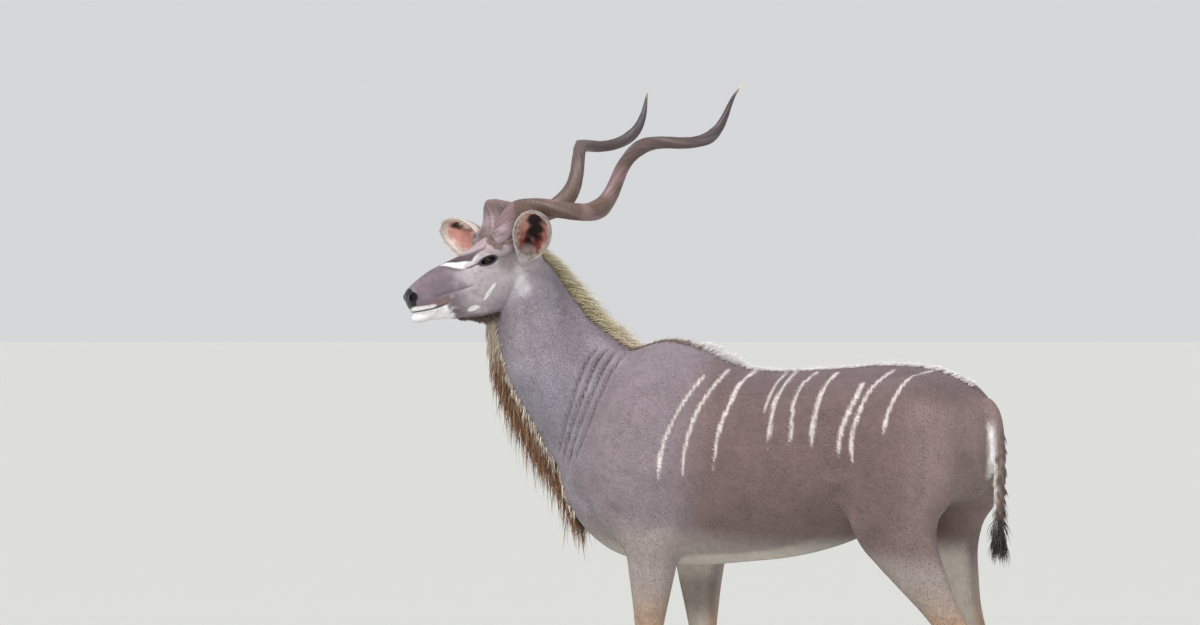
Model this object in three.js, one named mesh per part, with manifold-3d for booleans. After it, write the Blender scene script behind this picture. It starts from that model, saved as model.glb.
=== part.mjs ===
// A standing greater kudu bull at life size, head turned to its left, in millimetres, +Z up.
// The animal faces -Y, its left side is +X, and its hooves stand on Z = 0.
// While it is modelled, Y = 0 is under the highest point of the withers; the last lines move the
// origin to the middle of the footprint of its bounding box.
import * as THREE from "three";
import { mergeVertices } from "three/addons/utils/BufferGeometryUtils.js";
import Module from "manifold-3d";

const wasm = await Module();
wasm.setup();

// Driving sizes
const nodeGap = 0.35; // between two parts that touch
const simplifyBy = 0.15; // how far a surface may move where needless triangles go
const leftSide = 1;
const rightSide = -1;
const sides = [
  { name: "left", sign: leftSide },
  { name: "right", sign: rightSide },
];
const degree = Math.PI / 180;
const headTurn = 53 * degree; // from straight ahead towards the animal's left
const headPitch = 20 * degree; // the axis of the head, below the horizontal
const noseTip = new THREE.Vector3(440, -662, 1529);

const vec = (x, y, z) => new THREE.Vector3(x, y, z);
const lerp = THREE.MathUtils.lerp;
const clamp01 = (t) => Math.min(1, Math.max(0, t));
const smooth = (t) => clamp01(t) ** 2 * (3 - 2 * clamp01(t));

// Repeatable random numbers from 0 to 1
function randomFrom(seed) {
  let state = seed;
  return () => {
    state = (state * 1664525 + 1013904223) % 4294967296;
    return state / 4294967296;
  };
}

// Catmull-Rom value of a list of named numbers at t from 0 to 1
function blendStations(stations, t) {
  const last = stations.length - 1;
  const place = clamp01(t) * last;
  const i = Math.min(last - 1, Math.floor(place));
  const f = place - i;
  const four = [i - 1, i, i + 1, i + 2].map((k) => stations[Math.min(last, Math.max(0, k))]);
  const out = {};
  for (const key of Object.keys(stations[0])) {
    if (key === "at") continue;
    const [a, b, c, d] = four.map((s) => s[key]);
    out[key] =
      0.5 * (2 * b + (c - a) * f + (2 * a - 5 * b + 4 * c - d) * f * f + (3 * b - a - 3 * c + d) * f ** 3);
  }
  return out;
}

// A ring of points round a centre: superellipse halves above and below, flat along "side"
function ovalRing(centre, side, up, size, count) {
  const ring = [];
  for (let k = 0; k < count; k++) {
    const angle = (2 * Math.PI * k) / count;
    const c = Math.cos(angle);
    const s = Math.sin(angle);
    const above = s >= 0;
    const power = 2 / (above ? (size.roundTop ?? 2) : (size.roundBottom ?? 2));
    const across = size.half * Math.sign(c) * Math.abs(c) ** power;
    const rise = (above ? size.rise : size.drop) * Math.sign(s) * Math.abs(s) ** power;
    ring.push(centre.clone().addScaledVector(side, across).addScaledVector(up, rise));
  }
  return ring;
}

// A closed body through rings of equal count. Each end gets a fan, or, where a ring is a bent
// strip with an outer and an inner half, a strip between its halves.
function loftGeometry(rings, stripEnds) {
  const count = rings[0].length;
  const points = rings.flat();
  const middle = (ring) => ring.reduce((sum, p) => sum.add(p), vec(0, 0, 0)).divideScalar(count);
  if (!stripEnds) points.push(middle(rings[0]), middle(rings[rings.length - 1]));
  const firstMiddle = points.length - 2;
  const lastMiddle = points.length - 1;
  const lastRing = (rings.length - 1) * count;
  const faces = [];
  for (let k = 0; k < count; k++) {
    const next = (k + 1) % count;
    for (let r = 0; r + 1 < rings.length; r++) {
      const a = r * count + k;
      const b = r * count + next;
      faces.push(a, b, a + count, b, b + count, a + count);
    }
    if (!stripEnds) faces.push(firstMiddle, next, k, lastMiddle, lastRing + k, lastRing + next);
  }
  for (let k = 0; stripEnds && k + 1 < count / 2; k++) {
    const across = count - 1 - k;
    faces.push(k, across - 1, k + 1, k, across, across - 1);
    faces.push(lastRing + k, lastRing + k + 1, lastRing + across - 1);
    faces.push(lastRing + k, lastRing + across - 1, lastRing + across);
  }
  const geometry = new THREE.BufferGeometry();
  geometry.setAttribute("position", new THREE.Float32BufferAttribute(points.flatMap((p) => p.toArray()), 3));
  geometry.setIndex(faces);
  return geometry;
}

// A closed geometry as a solid, turned to face outwards
function solid(geometry) {
  const bare = geometry.clone();
  bare.deleteAttribute("normal");
  bare.deleteAttribute("uv");
  const merged = mergeVertices(bare, 1e-3);
  const triVerts = new Uint32Array(merged.index.array);
  const vertProperties = new Float32Array(merged.attributes.position.array);
  const made = new wasm.Manifold(new wasm.Mesh({ numProp: 3, vertProperties, triVerts }));
  if (made.volume() > 0) return made;
  for (let i = 0; i < triVerts.length; i += 3) {
    [triVerts[i + 1], triVerts[i + 2]] = [triVerts[i + 2], triVerts[i + 1]];
  }
  return new wasm.Manifold(new wasm.Mesh({ numProp: 3, vertProperties, triVerts }));
}

const loft = (rings, stripEnds = false) => solid(loftGeometry(rings, stripEnds));
const join = (pieces) => pieces.reduce((whole, piece) => whole.add(piece));
const cut = (body, pieces) => pieces.reduce((rest, piece) => rest.subtract(piece), body);

// Only the largest closed surface of a body
function largest(body) {
  const parts = body.decompose();
  return parts.reduce((best, part) => (part.volume() > best.volume() ? part : best));
}

// An ellipsoid with its axes along three directions
function ellipsoid(centre, axes, radii, detail = 14) {
  const ball = new THREE.SphereGeometry(1, detail, Math.round(detail * 0.7));
  const basis = new THREE.Matrix4().makeBasis(...axes.map((a, i) => a.clone().multiplyScalar(radii[i])));
  ball.applyMatrix4(basis.setPosition(centre));
  return solid(ball);
}

// A solid swept straight across, from an outline in the plane of two directions
function prism(outline, origin, alongU, alongW, across, reach) {
  const shape = new THREE.Shape(outline.map(([u, w]) => new THREE.Vector2(u, w)));
  const slab = new THREE.ExtrudeGeometry(shape, { depth: 2 * reach, bevelEnabled: false });
  slab.translate(0, 0, -reach);
  slab.applyMatrix4(new THREE.Matrix4().makeBasis(alongU, alongW, across).setPosition(origin));
  return solid(slab);
}

const lockShares = [0, 0.4, 0.75, 1]; // along a lock
const lockWidths = [0.8, 1, 0.68, 0.07];

// A flat, tapered lock of hair that leaves the skin at root, bends over and follows its lie.
// Its flat side looks towards "face".
function hairLock({ root, out, lie, face, length, width, thick, lift, sink }) {
  const start = root.clone().addScaledVector(out, -sink);
  const knee = root.clone().addScaledVector(out, lift * length).addScaledVector(lie, 0.3 * length);
  const tip = root.clone().addScaledVector(out, lift * length * 0.8).addScaledVector(lie, length);
  const path = new THREE.QuadraticBezierCurve3(start, knee, tip);
  const rings = lockShares.map((t, k) => {
    const along = path.getTangent(t).normalize();
    const across = vec().crossVectors(along, face).normalize();
    const through = vec().crossVectors(across, along).normalize();
    const share = lockWidths[k];
    const half = (thick / 2) * Math.sqrt(share);
    const size = { half: (width / 2) * share, rise: half, drop: half };
    return ovalRing(path.getPoint(t), across, through, size, 4);
  });
  return loft(rings);
}

// Trunk: sections across the body from the chest to the buttocks
const trunkStations = [
  { at: "breast", y: -352, top: 1190, bottom: 985, half: 60, level: 1085, roundTop: 2, roundBottom: 2 },
  { at: "shoulder points", y: -318, top: 1262, bottom: 868, half: 132, level: 1060, roundTop: 2, roundBottom: 2 },
  { at: "breastbone", y: -220, top: 1335, bottom: 780, half: 178, level: 1050, roundTop: 1.9, roundBottom: 2 },
  { at: "front of withers", y: -110, top: 1376, bottom: 745, half: 192, level: 1040, roundTop: 1.75, roundBottom: 2.1 },
  { at: "withers", y: 0, top: 1400, bottom: 735, half: 204, level: 1025, roundTop: 1.7, roundBottom: 2.1 },
  { at: "behind withers", y: 105, top: 1378, bottom: 735, half: 220, level: 1020, roundTop: 1.75, roundBottom: 2.2 },
  { at: "dip", y: 235, top: 1322, bottom: 745, half: 236, level: 1015, roundTop: 1.9, roundBottom: 2.2 },
  { at: "ribs", y: 400, top: 1314, bottom: 762, half: 242, level: 1025, roundTop: 2, roundBottom: 2.2 },
  { at: "loin", y: 560, top: 1322, bottom: 800, half: 230, level: 1050, roundTop: 2, roundBottom: 2.1 },
  { at: "flank", y: 700, top: 1332, bottom: 858, half: 208, level: 1080, roundTop: 2, roundBottom: 2 },
  { at: "croup", y: 840, top: 1326, bottom: 905, half: 190, level: 1090, roundTop: 2, roundBottom: 2 },
  { at: "tail root", y: 965, top: 1288, bottom: 930, half: 165, level: 1095, roundTop: 2, roundBottom: 2 },
  { at: "buttocks", y: 1034, top: 1225, bottom: 980, half: 104, level: 1095, roundTop: 2, roundBottom: 2 },
  { at: "rear end", y: 1062, top: 1160, bottom: 1035, half: 42, level: 1095, roundTop: 2, roundBottom: 2 },
];
const acrossBody = vec(1, 0, 0);
const upBody = vec(0, 0, 1);

function trunkRing(s, count) {
  const size = { ...s, rise: s.top - s.level, drop: s.level - s.bottom };
  return ovalRing(vec(0, s.y, s.level), acrossBody, upBody, size, count);
}

function trunkBody() {
  const ringCount = 22;
  const rings = [];
  for (let r = 0; r <= ringCount; r++) rings.push(trunkRing(blendStations(trunkStations, r / ringCount), 22));
  return loft(rings);
}

// A limb or a muscle: oval sections along a bent line. "deep" runs fore and aft, "wide" across.
function limb(stations, ringCount, sideCount, grow = 0) {
  const at = (t) => blendStations(stations, t);
  const point = (s) => vec(s.x, s.y, s.z);
  const rings = [];
  for (let r = 0; r <= ringCount; r++) {
    const t = r / ringCount;
    const s = at(t);
    const along = point(at(t + 0.01)).sub(point(at(t - 0.01))).normalize();
    const fore = vec().crossVectors(acrossBody, along).normalize();
    const side = vec().crossVectors(along, fore).normalize();
    const size = { half: s.wide / 2 + grow, rise: s.deep / 2 + grow, drop: s.deep / 2 + grow };
    rings.push(ovalRing(point(s), side, fore, size, sideCount));
  }
  return loft(rings);
}

// Legs. Each list runs from the top down; x is for the left side.
const foreStep = { left: -45, right: 60 };
const hindStep = { left: 70, right: -75 };
const foreCut = 722; // the forearm is parted from the chest here
const kneeCut = 428;
const hindCut = 812; // the second thigh is parted from the haunch here
const hockCut = 452;
const hoofTop = 54;

const shoulderStations = [
  { at: "blade top", x: 52, y: -10, z: 1330, deep: 110, wide: 50 },
  { at: "blade", x: 108, y: -40, z: 1225, deep: 240, wide: 140 },
  { at: "shoulder", x: 138, y: -88, z: 1080, deep: 320, wide: 172 },
  { at: "upper arm", x: 152, y: -50, z: 940, deep: 290, wide: 168 },
  { at: "elbow", x: 146, y: 0, z: 830, deep: 215, wide: 140 },
  { at: "forearm top", x: 138, y: 6, z: 745, deep: 165, wide: 116 },
];

function foreleg(step) {
  const shift = (share) => share * step;
  return [
    { at: "upper arm", x: 148, y: -30, z: 900, deep: 230, wide: 140 },
    { at: "elbow", x: 144, y: 4, z: 815, deep: 196, wide: 128 },
    { at: "forearm", x: 136, y: 4 + shift(0.12), z: 700, deep: 142, wide: 104 },
    { at: "lower forearm", x: 128, y: 2 + shift(0.35), z: 560, deep: 92, wide: 74 },
    { at: "above knee", x: 123, y: shift(0.5), z: 478, deep: 76, wide: 68 },
    { at: "knee", x: 121, y: -4 + shift(0.6), z: 428, deep: 80, wide: 74 },
    { at: "below knee", x: 120, y: shift(0.68), z: 372, deep: 60, wide: 56 },
    { at: "cannon", x: 118, y: 2 + shift(0.82), z: 260, deep: 50, wide: 43 },
    { at: "above fetlock", x: 117, y: 2 + shift(0.94), z: 160, deep: 54, wide: 46 },
    { at: "fetlock", x: 117, y: 0 + shift(1), z: 116, deep: 68, wide: 60 },
    { at: "pastern", x: 117, y: -18 + shift(1), z: 76, deep: 60, wide: 60 },
    { at: "coronet", x: 117, y: -30 + shift(1), z: 44, deep: 78, wide: 68 },
  ];
}

const haunchStations = [
  { at: "croup", x: 92, y: 800, z: 1275, deep: 210, wide: 110 },
  { at: "hip", x: 130, y: 838, z: 1160, deep: 350, wide: 170 },
  { at: "thigh", x: 142, y: 838, z: 1020, deep: 380, wide: 176 },
  { at: "stifle", x: 146, y: 812, z: 900, deep: 318, wide: 150 },
  { at: "second thigh top", x: 142, y: 838, z: 800, deep: 232, wide: 122 },
];

function hindleg(step) {
  const shift = (share) => share * step;
  return [
    { at: "thigh", x: 142, y: 820, z: 930, deep: 320, wide: 146 },
    { at: "stifle", x: 144, y: 826 + shift(0.05), z: 850, deep: 270, wide: 136 },
    { at: "second thigh", x: 138, y: 868 + shift(0.2), z: 745, deep: 180, wide: 108 },
    { at: "lower thigh", x: 130, y: 925 + shift(0.4), z: 630, deep: 112, wide: 76 },
    { at: "above hock", x: 125, y: 972 + shift(0.58), z: 540, deep: 92, wide: 62 },
    { at: "hock", x: 122, y: 992 + shift(0.66), z: 480, deep: 98, wide: 70 },
    { at: "below hock", x: 120, y: 990 + shift(0.72), z: 405, deep: 72, wide: 56 },
    { at: "cannon", x: 118, y: 982 + shift(0.85), z: 290, deep: 54, wide: 44 },
    { at: "above fetlock", x: 117, y: 974 + shift(0.96), z: 172, deep: 56, wide: 47 },
    { at: "fetlock", x: 117, y: 968 + shift(1), z: 120, deep: 70, wide: 60 },
    { at: "pastern", x: 117, y: 948 + shift(1), z: 76, deep: 60, wide: 58 },
    { at: "coronet", x: 117, y: 936 + shift(1), z: 44, deep: 77, wide: 66 },
  ];
}

const onSide = (stations, sign) => stations.map((s) => ({ ...s, x: s.x * sign }));

// A claw of a hoof: a pointed outline that leans back as it rises from its flat sole
const clawLength = 96;
const clawWidth = 36;
const clawGap = 5;
function claw(centreX, heelY, sign, inner, gap = 0) {
  const lean = 0.62;
  const levels = [
    { z: 0, grow: 1 },
    { z: 6, grow: 1.01 },
    { z: 34, grow: 0.93 },
    { z: hoofTop + gap, grow: 0.8 },
  ];
  const facing = inner ? -sign : sign; // towards the outside of this claw
  const rings = levels.map(({ z, grow }) => {
    const ring = [];
    const count = 12;
    for (let k = 0; k < count; k++) {
      const angle = (2 * Math.PI * k) / count;
      const along = 0.5 - 0.5 * Math.cos(angle); // 0 at the heel, 1 at the toe
      const outer = Math.sin(angle) > 0;
      const taper = along < 0.55 ? 1 : 1 - 0.62 * ((along - 0.55) / 0.45) ** 1.6;
      const bulge = Math.abs(Math.sin(angle)) ** 0.7 * taper;
      const across = outer ? clawWidth * 0.62 * bulge : -clawWidth * 0.38 * Math.abs(Math.sin(angle)) ** 0.45;
      const sideways = across * grow + gap * 1.3 * Math.sin(angle);
      const forward = (along - 0.5) * (clawLength * grow + 2.6 * gap);
      const x = centreX + facing * (clawGap / 2 + clawWidth * 0.38 + sideways);
      const y = heelY - clawLength * 0.5 - forward + lean * z * 0.6;
      ring.push(vec(x, y, z));
    }
    return ring;
  });
  return loft(rings);
}

// The neck, from inside the chest to the back of the head
const neckStations = [
  { at: "in the chest", x: 0, y: -60, z: 1075, half: 165, rise: 235, drop: 240, yaw: 0 },
  { at: "root", x: 2, y: -205, z: 1160, half: 158, rise: 222, drop: 226, yaw: 4 },
  { at: "lower neck", x: 16, y: -302, z: 1262, half: 142, rise: 184, drop: 200, yaw: 14 },
  { at: "middle", x: 44, y: -378, z: 1362, half: 126, rise: 150, drop: 174, yaw: 24 },
  { at: "upper neck", x: 88, y: -428, z: 1470, half: 104, rise: 129, drop: 142, yaw: 35 },
  { at: "behind the jaw", x: 142, y: -456, z: 1560, half: 86, rise: 118, drop: 106, yaw: 46 },
  { at: "in the head", x: 188, y: -476, z: 1610, half: 62, rise: 88, drop: 72, yaw: 52 },
];

function neckFrame(t) {
  const s = blendStations(neckStations, t);
  const a = blendStations(neckStations, t - 0.01);
  const b = blendStations(neckStations, t + 0.01);
  const along = vec(b.x - a.x, b.y - a.y, b.z - a.z).normalize();
  const heading = vec(Math.sin(s.yaw * degree), -Math.cos(s.yaw * degree), 0);
  const across = vec().crossVectors(upBody, heading).normalize();
  across.addScaledVector(along, -across.dot(along)).normalize();
  const nape = vec().crossVectors(across, along).normalize();
  if (nape.dot(heading) > 0) nape.negate();
  return { s, centre: vec(s.x, s.y, s.z), across, nape, along };
}

function neckBody() {
  const ringCount = 16;
  const rings = [];
  for (let r = 0; r <= ringCount; r++) {
    const { s, centre, across, nape } = neckFrame(r / ringCount);
    rings.push(ovalRing(centre, across, nape, { ...s, roundTop: 1.8, roundBottom: 1.9 }, 20));
  }
  return loft(rings);
}

// Head frame: u forward along the face, v to the animal's left, w up from the jaw to the brow
const ahead = vec(Math.sin(headTurn), -Math.cos(headTurn), 0);
const headV = vec().crossVectors(upBody, ahead).normalize();
const headU = ahead.clone().multiplyScalar(Math.cos(headPitch)).addScaledVector(upBody, -Math.sin(headPitch));
const headW = ahead.clone().multiplyScalar(Math.sin(headPitch)).addScaledVector(upBody, Math.cos(headPitch));
const headAxes = [headU, headV, headW];
const inHead = (u, v, w) =>
  noseTip.clone().addScaledVector(headU, u).addScaledVector(headV, v).addScaledVector(headW, w);

const headStations = [
  { at: "nose", u: 2, top: -10, bottom: -30, half: 9, level: -20, roundTop: 2, roundBottom: 2 },
  { at: "nose front", u: -1, top: 2, bottom: -46, half: 21, level: -21, roundTop: 2, roundBottom: 2 },
  { at: "nose pad", u: -7, top: 12, bottom: -64, half: 30, level: -22, roundTop: 2.2, roundBottom: 2 },
  { at: "nostrils", u: -24, top: 21, bottom: -84, half: 36, level: -24, roundTop: 2.2, roundBottom: 2.1 },
  { at: "lips", u: -55, top: 33, bottom: -97, half: 37, level: -34, roundTop: 2, roundBottom: 2.1 },
  { at: "mouth corner", u: -95, top: 44, bottom: -108, half: 39, level: -40, roundTop: 1.9, roundBottom: 2.1 },
  { at: "muzzle", u: -140, top: 49, bottom: -124, half: 46, level: -42, roundTop: 1.9, roundBottom: 2 },
  { at: "cheek", u: -185, top: 52, bottom: -138, half: 55, level: -32, roundTop: 2, roundBottom: 2 },
  { at: "below the eye", u: -225, top: 56, bottom: -147, half: 64, level: -18, roundTop: 2.2, roundBottom: 2 },
  { at: "eye", u: -265, top: 65, bottom: -148, half: 68, level: -8, roundTop: 2.4, roundBottom: 2 },
  { at: "brow", u: -305, top: 76, bottom: -140, half: 68, level: -8, roundTop: 2.4, roundBottom: 2 },
  { at: "horn seat", u: -345, top: 74, bottom: -126, half: 70, level: -4, roundTop: 2.2, roundBottom: 1.8 },
  { at: "poll", u: -390, top: 58, bottom: -110, half: 66, level: -16, roundTop: 2, roundBottom: 2 },
  { at: "nape", u: -430, top: 28, bottom: -88, half: 52, level: -30, roundTop: 2, roundBottom: 2 },
];

function headRing(s, count) {
  const size = { ...s, rise: s.top - s.level, drop: s.level - s.bottom };
  return ovalRing(inHead(s.u, 0, s.level), headV, headW, size, count);
}

function headLoft(shrink = 0) {
  const ringCount = 20;
  const rings = [];
  for (let r = 0; r <= ringCount; r++) {
    const s = blendStations(headStations, r / ringCount);
    rings.push(
      headRing(
        { ...s, u: s.u - shrink, top: s.top - shrink, bottom: s.bottom + shrink, half: s.half - shrink },
        20,
      ),
    );
  }
  return loft(rings);
}

// Eyes and lids
const eyeRadius = 20.5;
const eyePlace = { u: -263, v: 52, w: 16 };
const lidThickness = 4;
const eyeCentre = (sign) => inHead(eyePlace.u, sign * eyePlace.v, eyePlace.w);
const eyeLook = (sign) => vec().addScaledVector(headV, sign).addScaledVector(headU, 0.34).normalize();

function eyeOpening(sign) {
  const look = eyeLook(sign);
  const long = vec().crossVectors(headW, look).normalize();
  const rise = vec().crossVectors(look, long).normalize();
  const halfLong = 19;
  const outline = [];
  const points = 14;
  for (let k = 0; k < points; k++) {
    const angle = (2 * Math.PI * k) / points;
    const s = Math.sin(angle);
    outline.push([halfLong * Math.cos(angle), (s > 0 ? 12.5 : 9.5) * Math.sign(s) * Math.abs(s) ** 1.25]);
  }
  const depth = 30;
  return prism(outline, eyeCentre(sign).addScaledVector(look, depth), long, rise, look, depth - 2);
}

function headBody() {
  const orbitCentre = (sign) => eyeCentre(sign).addScaledVector(headW, 5).addScaledVector(headV, -7 * sign);
  const orbit = (sign) => [
    ellipsoid(orbitCentre(sign), headAxes, [50, 24, 30], 10),
    ellipsoid(eyeCentre(sign), headAxes, Array(3).fill(eyeRadius + lidThickness), 12),
  ];
  const nostrilWing = (sign) => ellipsoid(inHead(-19, sign * 20, -10), headAxes, [20, 17, 18], 9);
  const chin = ellipsoid(inHead(-38, 0, -74), headAxes, [42, 28, 20], 10);
  const upperLip = ellipsoid(inHead(-34, 0, -34), headAxes, [35, 36, 22], 10);
  const hornSeat = (sign) => ellipsoid(inHead(-320, sign * 40, 42), headAxes, [58, 40, 37], 10);
  const earRoot = (sign) => ellipsoid(inHead(-374, sign * 62, 6), headAxes, [40, 30, 38], 9);
  return join([
    headLoft(),
    chin,
    upperLip,
    ...sides.flatMap(({ sign }) => [
      ...orbit(sign),
      nostrilWing(sign),
      hornSeat(sign),
      earRoot(sign),
    ]),
  ]);
}

// The line of the mouth, a shallow groove round the front of the muzzle
const mouthLine = [
  [12, -50],
  [-18, -55],
  [-50, -60],
  [-80, -63],
  [-99, -62],
];
const mouthGap = 3;
const mouthDepth = 7;
function mouthGroove() {
  const upper = mouthLine.map(([u, w]) => [u, w + mouthGap / 2]);
  const lower = mouthLine.map(([u, w]) => [u, w - mouthGap / 2]).reverse();
  return prism([...upper, ...lower], noseTip, headU, headW, headV.clone().negate(), 60);
}

function nostrilHole(sign) {
  const centre = inHead(-10, sign * 27, -8);
  const inward = vec().addScaledVector(headV, sign).addScaledVector(headU, 0.55).normalize();
  const long = vec().addScaledVector(headU, -0.75).addScaledVector(headW, 0.66);
  long.addScaledVector(inward, -long.dot(inward)).normalize();
  const short = vec().crossVectors(inward, long).normalize();
  return ellipsoid(centre, [long, short, inward], [14, 9, 16], 10);
}

// Ears: a cup of thin skin, rolled into a tube at the root and open to the tip
const earThickness = 5;
const earTipLength = 0.1; // share of the length over which the tip narrows
const earTipWidth = 0.008; // what is left of it at the end
const earStations = [
  { at: "root", along: -14, radius: 25, spread: 168, back: 0 },
  { at: "tube", along: 22, radius: 31, spread: 150, back: 0 },
  { at: "low cup", along: 56, radius: 45, spread: 120, back: 5 },
  { at: "cup", along: 98, radius: 57, spread: 100, back: 8 },
  { at: "widest", along: 136, radius: 59, spread: 88, back: 8 },
  { at: "upper cup", along: 176, radius: 52, spread: 76, back: 4 },
  { at: "below the tip", along: 205, radius: 35, spread: 62, back: 0 },
  { at: "tip", along: 220, radius: 15, spread: 50, back: -4 },
];
const earPose = {
  left: { u: -376, v: 84, w: -7, out: [0.22, 0.83, 0.51], open: [0.6, 0.4, -0.55] },
  right: { u: -358, v: -88, w: -7, out: [0.6, -0.7, 0.41], open: [1, 0.1, -0.1] },
};
const earDirection = ([f, l, z]) =>
  ahead.clone().multiplyScalar(f).addScaledVector(headV, l).addScaledVector(upBody, z).normalize();

function earFrame(name) {
  const pose = earPose[name];
  const along = earDirection(pose.out);
  const open = earDirection(pose.open);
  open.addScaledVector(along, -open.dot(along)).normalize();
  const across = vec().crossVectors(along, open).normalize();
  return { root: inHead(pose.u, pose.v, pose.w), along, open, across };
}

function earBody(name, grow = 0) {
  const stepCount = 12;
  const arcCount = 8;
  const { root, along, open, across } = earFrame(name);
  const rings = [];
  for (let r = 0; r <= stepCount; r++) {
    const s = blendStations(earStations, r / stepCount);
    const taper = Math.sqrt(clamp01((1 + earTipWidth - r / stepCount) / earTipLength));
    const half = s.spread * degree * taper + grow / s.radius;
    const middle = root
      .clone()
      .addScaledVector(along, s.along + grow * (r === 0 ? -1 : r === stepCount ? 1 : 0))
      .addScaledVector(open, s.radius * 0.25 - s.back);
    const arc = (radius) =>
      Array.from({ length: arcCount }, (_, k) => {
        const angle = lerp(-half, half, k / (arcCount - 1));
        return middle
          .clone()
          .addScaledVector(open, -radius * Math.cos(angle))
          .addScaledVector(across, radius * Math.sin(angle));
      });
    const thick = earThickness * (r > stepCount - 2 ? 0.7 : 1);
    rings.push([...arc(s.radius + grow), ...arc(s.radius - thick - grow).reverse()]);
  }
  return loft(rings, true);
}

// Horns: a corkscrew round a straight axis, with a keel that winds with it
const hornSteps = 44;
const hornSides = 8;
const hornSeatPlace = { u: -312, v: 69, w: 58 };
const hornRoot = { u: -308, v: 46, w: 18, share: 0.72 };
const hornReach = { back: 642, out: 290, up: 425 };
// "turn" is in degrees round the axis, 0 on its upper side; "shift" is along the axis
const hornStations = [
  { at: "seat", swing: 15, bow: 0, turn: -95, thick: 82, shift: -17 },
  { at: "first crown", swing: 54, bow: 7, turn: 2, thick: 62, shift: -5 },
  { at: "over the ear", swing: 56, bow: 10, turn: 84, thick: 56, shift: 0 },
  { at: "first hollow", swing: 54, bow: 14, turn: 178, thick: 53, shift: 0 },
  { at: "first climb", swing: 50, bow: 18, turn: 268, thick: 45, shift: -3 },
  { at: "second crown", swing: 42, bow: 22, turn: 350, thick: 41, shift: -8 },
  { at: "level run", swing: 38, bow: 22, turn: 458, thick: 37, shift: 0 },
  { at: "second hollow", swing: 34, bow: 18, turn: 560, thick: 29, shift: 6 },
  { at: "tip", swing: 28, bow: 0, turn: 680, thick: 4, shift: 30 },
];

function hornFrame(sign) {
  const seat = inHead(hornSeatPlace.u, sign * hornSeatPlace.v, hornSeatPlace.w);
  const axis = ahead
    .clone()
    .multiplyScalar(-hornReach.back)
    .addScaledVector(headV, sign * hornReach.out)
    .addScaledVector(upBody, hornReach.up);
  const along = axis.clone().normalize();
  const out = headV.clone().multiplyScalar(sign);
  out.addScaledVector(along, -out.dot(along)).normalize();
  const front = vec().crossVectors(along, out).normalize();
  if (front.dot(upBody) < 0) front.negate();
  return { seat, axis, along, out, front };
}

function hornPoint(sign, t) {
  const { seat, axis, along, out, front } = hornFrame(sign);
  const s = blendStations(hornStations, t);
  const angle = s.turn * degree;
  return {
    s,
    angle,
    centre: seat
      .clone()
      .addScaledVector(axis, t)
      .addScaledVector(along, s.shift)
      .addScaledVector(front, s.swing * Math.cos(angle) - s.bow)
      .addScaledVector(out, s.swing * Math.sin(angle)),
  };
}

function hornBody(sign, grow = 0) {
  const { out, front } = hornFrame(sign);
  const rings = [];
  for (let r = 0; r <= hornSteps; r++) {
    const t = r / hornSteps;
    const { s, angle, centre } = hornPoint(sign, t);
    const step = 0.012;
    const before = hornPoint(sign, Math.max(0, t - step)).centre;
    const tangent = hornPoint(sign, Math.min(1, t + step)).centre.sub(before).normalize();
    const keel = front.clone().multiplyScalar(Math.cos(angle)).addScaledVector(out, Math.sin(angle));
    keel.addScaledVector(tangent, -keel.dot(tangent)).normalize();
    const flat = vec().crossVectors(tangent, keel).normalize();
    const ring = [];
    for (let k = 0; k < hornSides; k++) {
      const round = (2 * Math.PI * k) / hornSides;
      const ridge = 1 + 0.16 * Math.max(0, Math.cos(round)) ** 4 + 0.05 * Math.max(0, -Math.cos(round)) ** 4;
      ring.push(
        centre
          .clone()
          .addScaledVector(keel, (s.thick / 2 + grow) * ridge * Math.cos(round))
          .addScaledVector(flat, (s.thick / 2 + grow) * 0.94 * Math.sin(round)),
      );
    }
    rings.push(ring);
  }
  // the root narrows into the skull
  const seatMiddle = hornPoint(sign, 0).centre;
  const rootMiddle = inHead(hornRoot.u, sign * hornRoot.v, hornRoot.w - grow);
  const root = rings[0].map((p) => p.clone().sub(seatMiddle).multiplyScalar(hornRoot.share).add(rootMiddle));
  return loft([root, ...rings]);
}

// Tail
const tailStations = [
  { at: "root", x: 0, y: 985, z: 1235, deep: 62, wide: 66 },
  { at: "bend", x: 0, y: 1052, z: 1195, deep: 50, wide: 54 },
  { at: "upper", x: 0, y: 1078, z: 1110, deep: 38, wide: 44 },
  { at: "middle", x: 0, y: 1082, z: 1000, deep: 30, wide: 38 },
  { at: "lower", x: 0, y: 1080, z: 900, deep: 24, wide: 32 },
  { at: "end", x: 0, y: 1076, z: 820, deep: 12, wide: 16 },
];

// Rows of hair
const throatLocks = { perRow: 8, from: 0.12, to: 0.93, width: 66, thick: 12 };
const throatRows = [-1, 0, 1]; // to the right, in the middle and to the left
const napeLocks = { perRow: 8, from: 0.3, to: 0.97, width: 58, thick: 10 };
const crestLocks = { count: 20, from: -10, to: 925, width: 38, thick: 9 };
const tailLocks = { count: 6, width: 40, thick: 11 };

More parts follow.
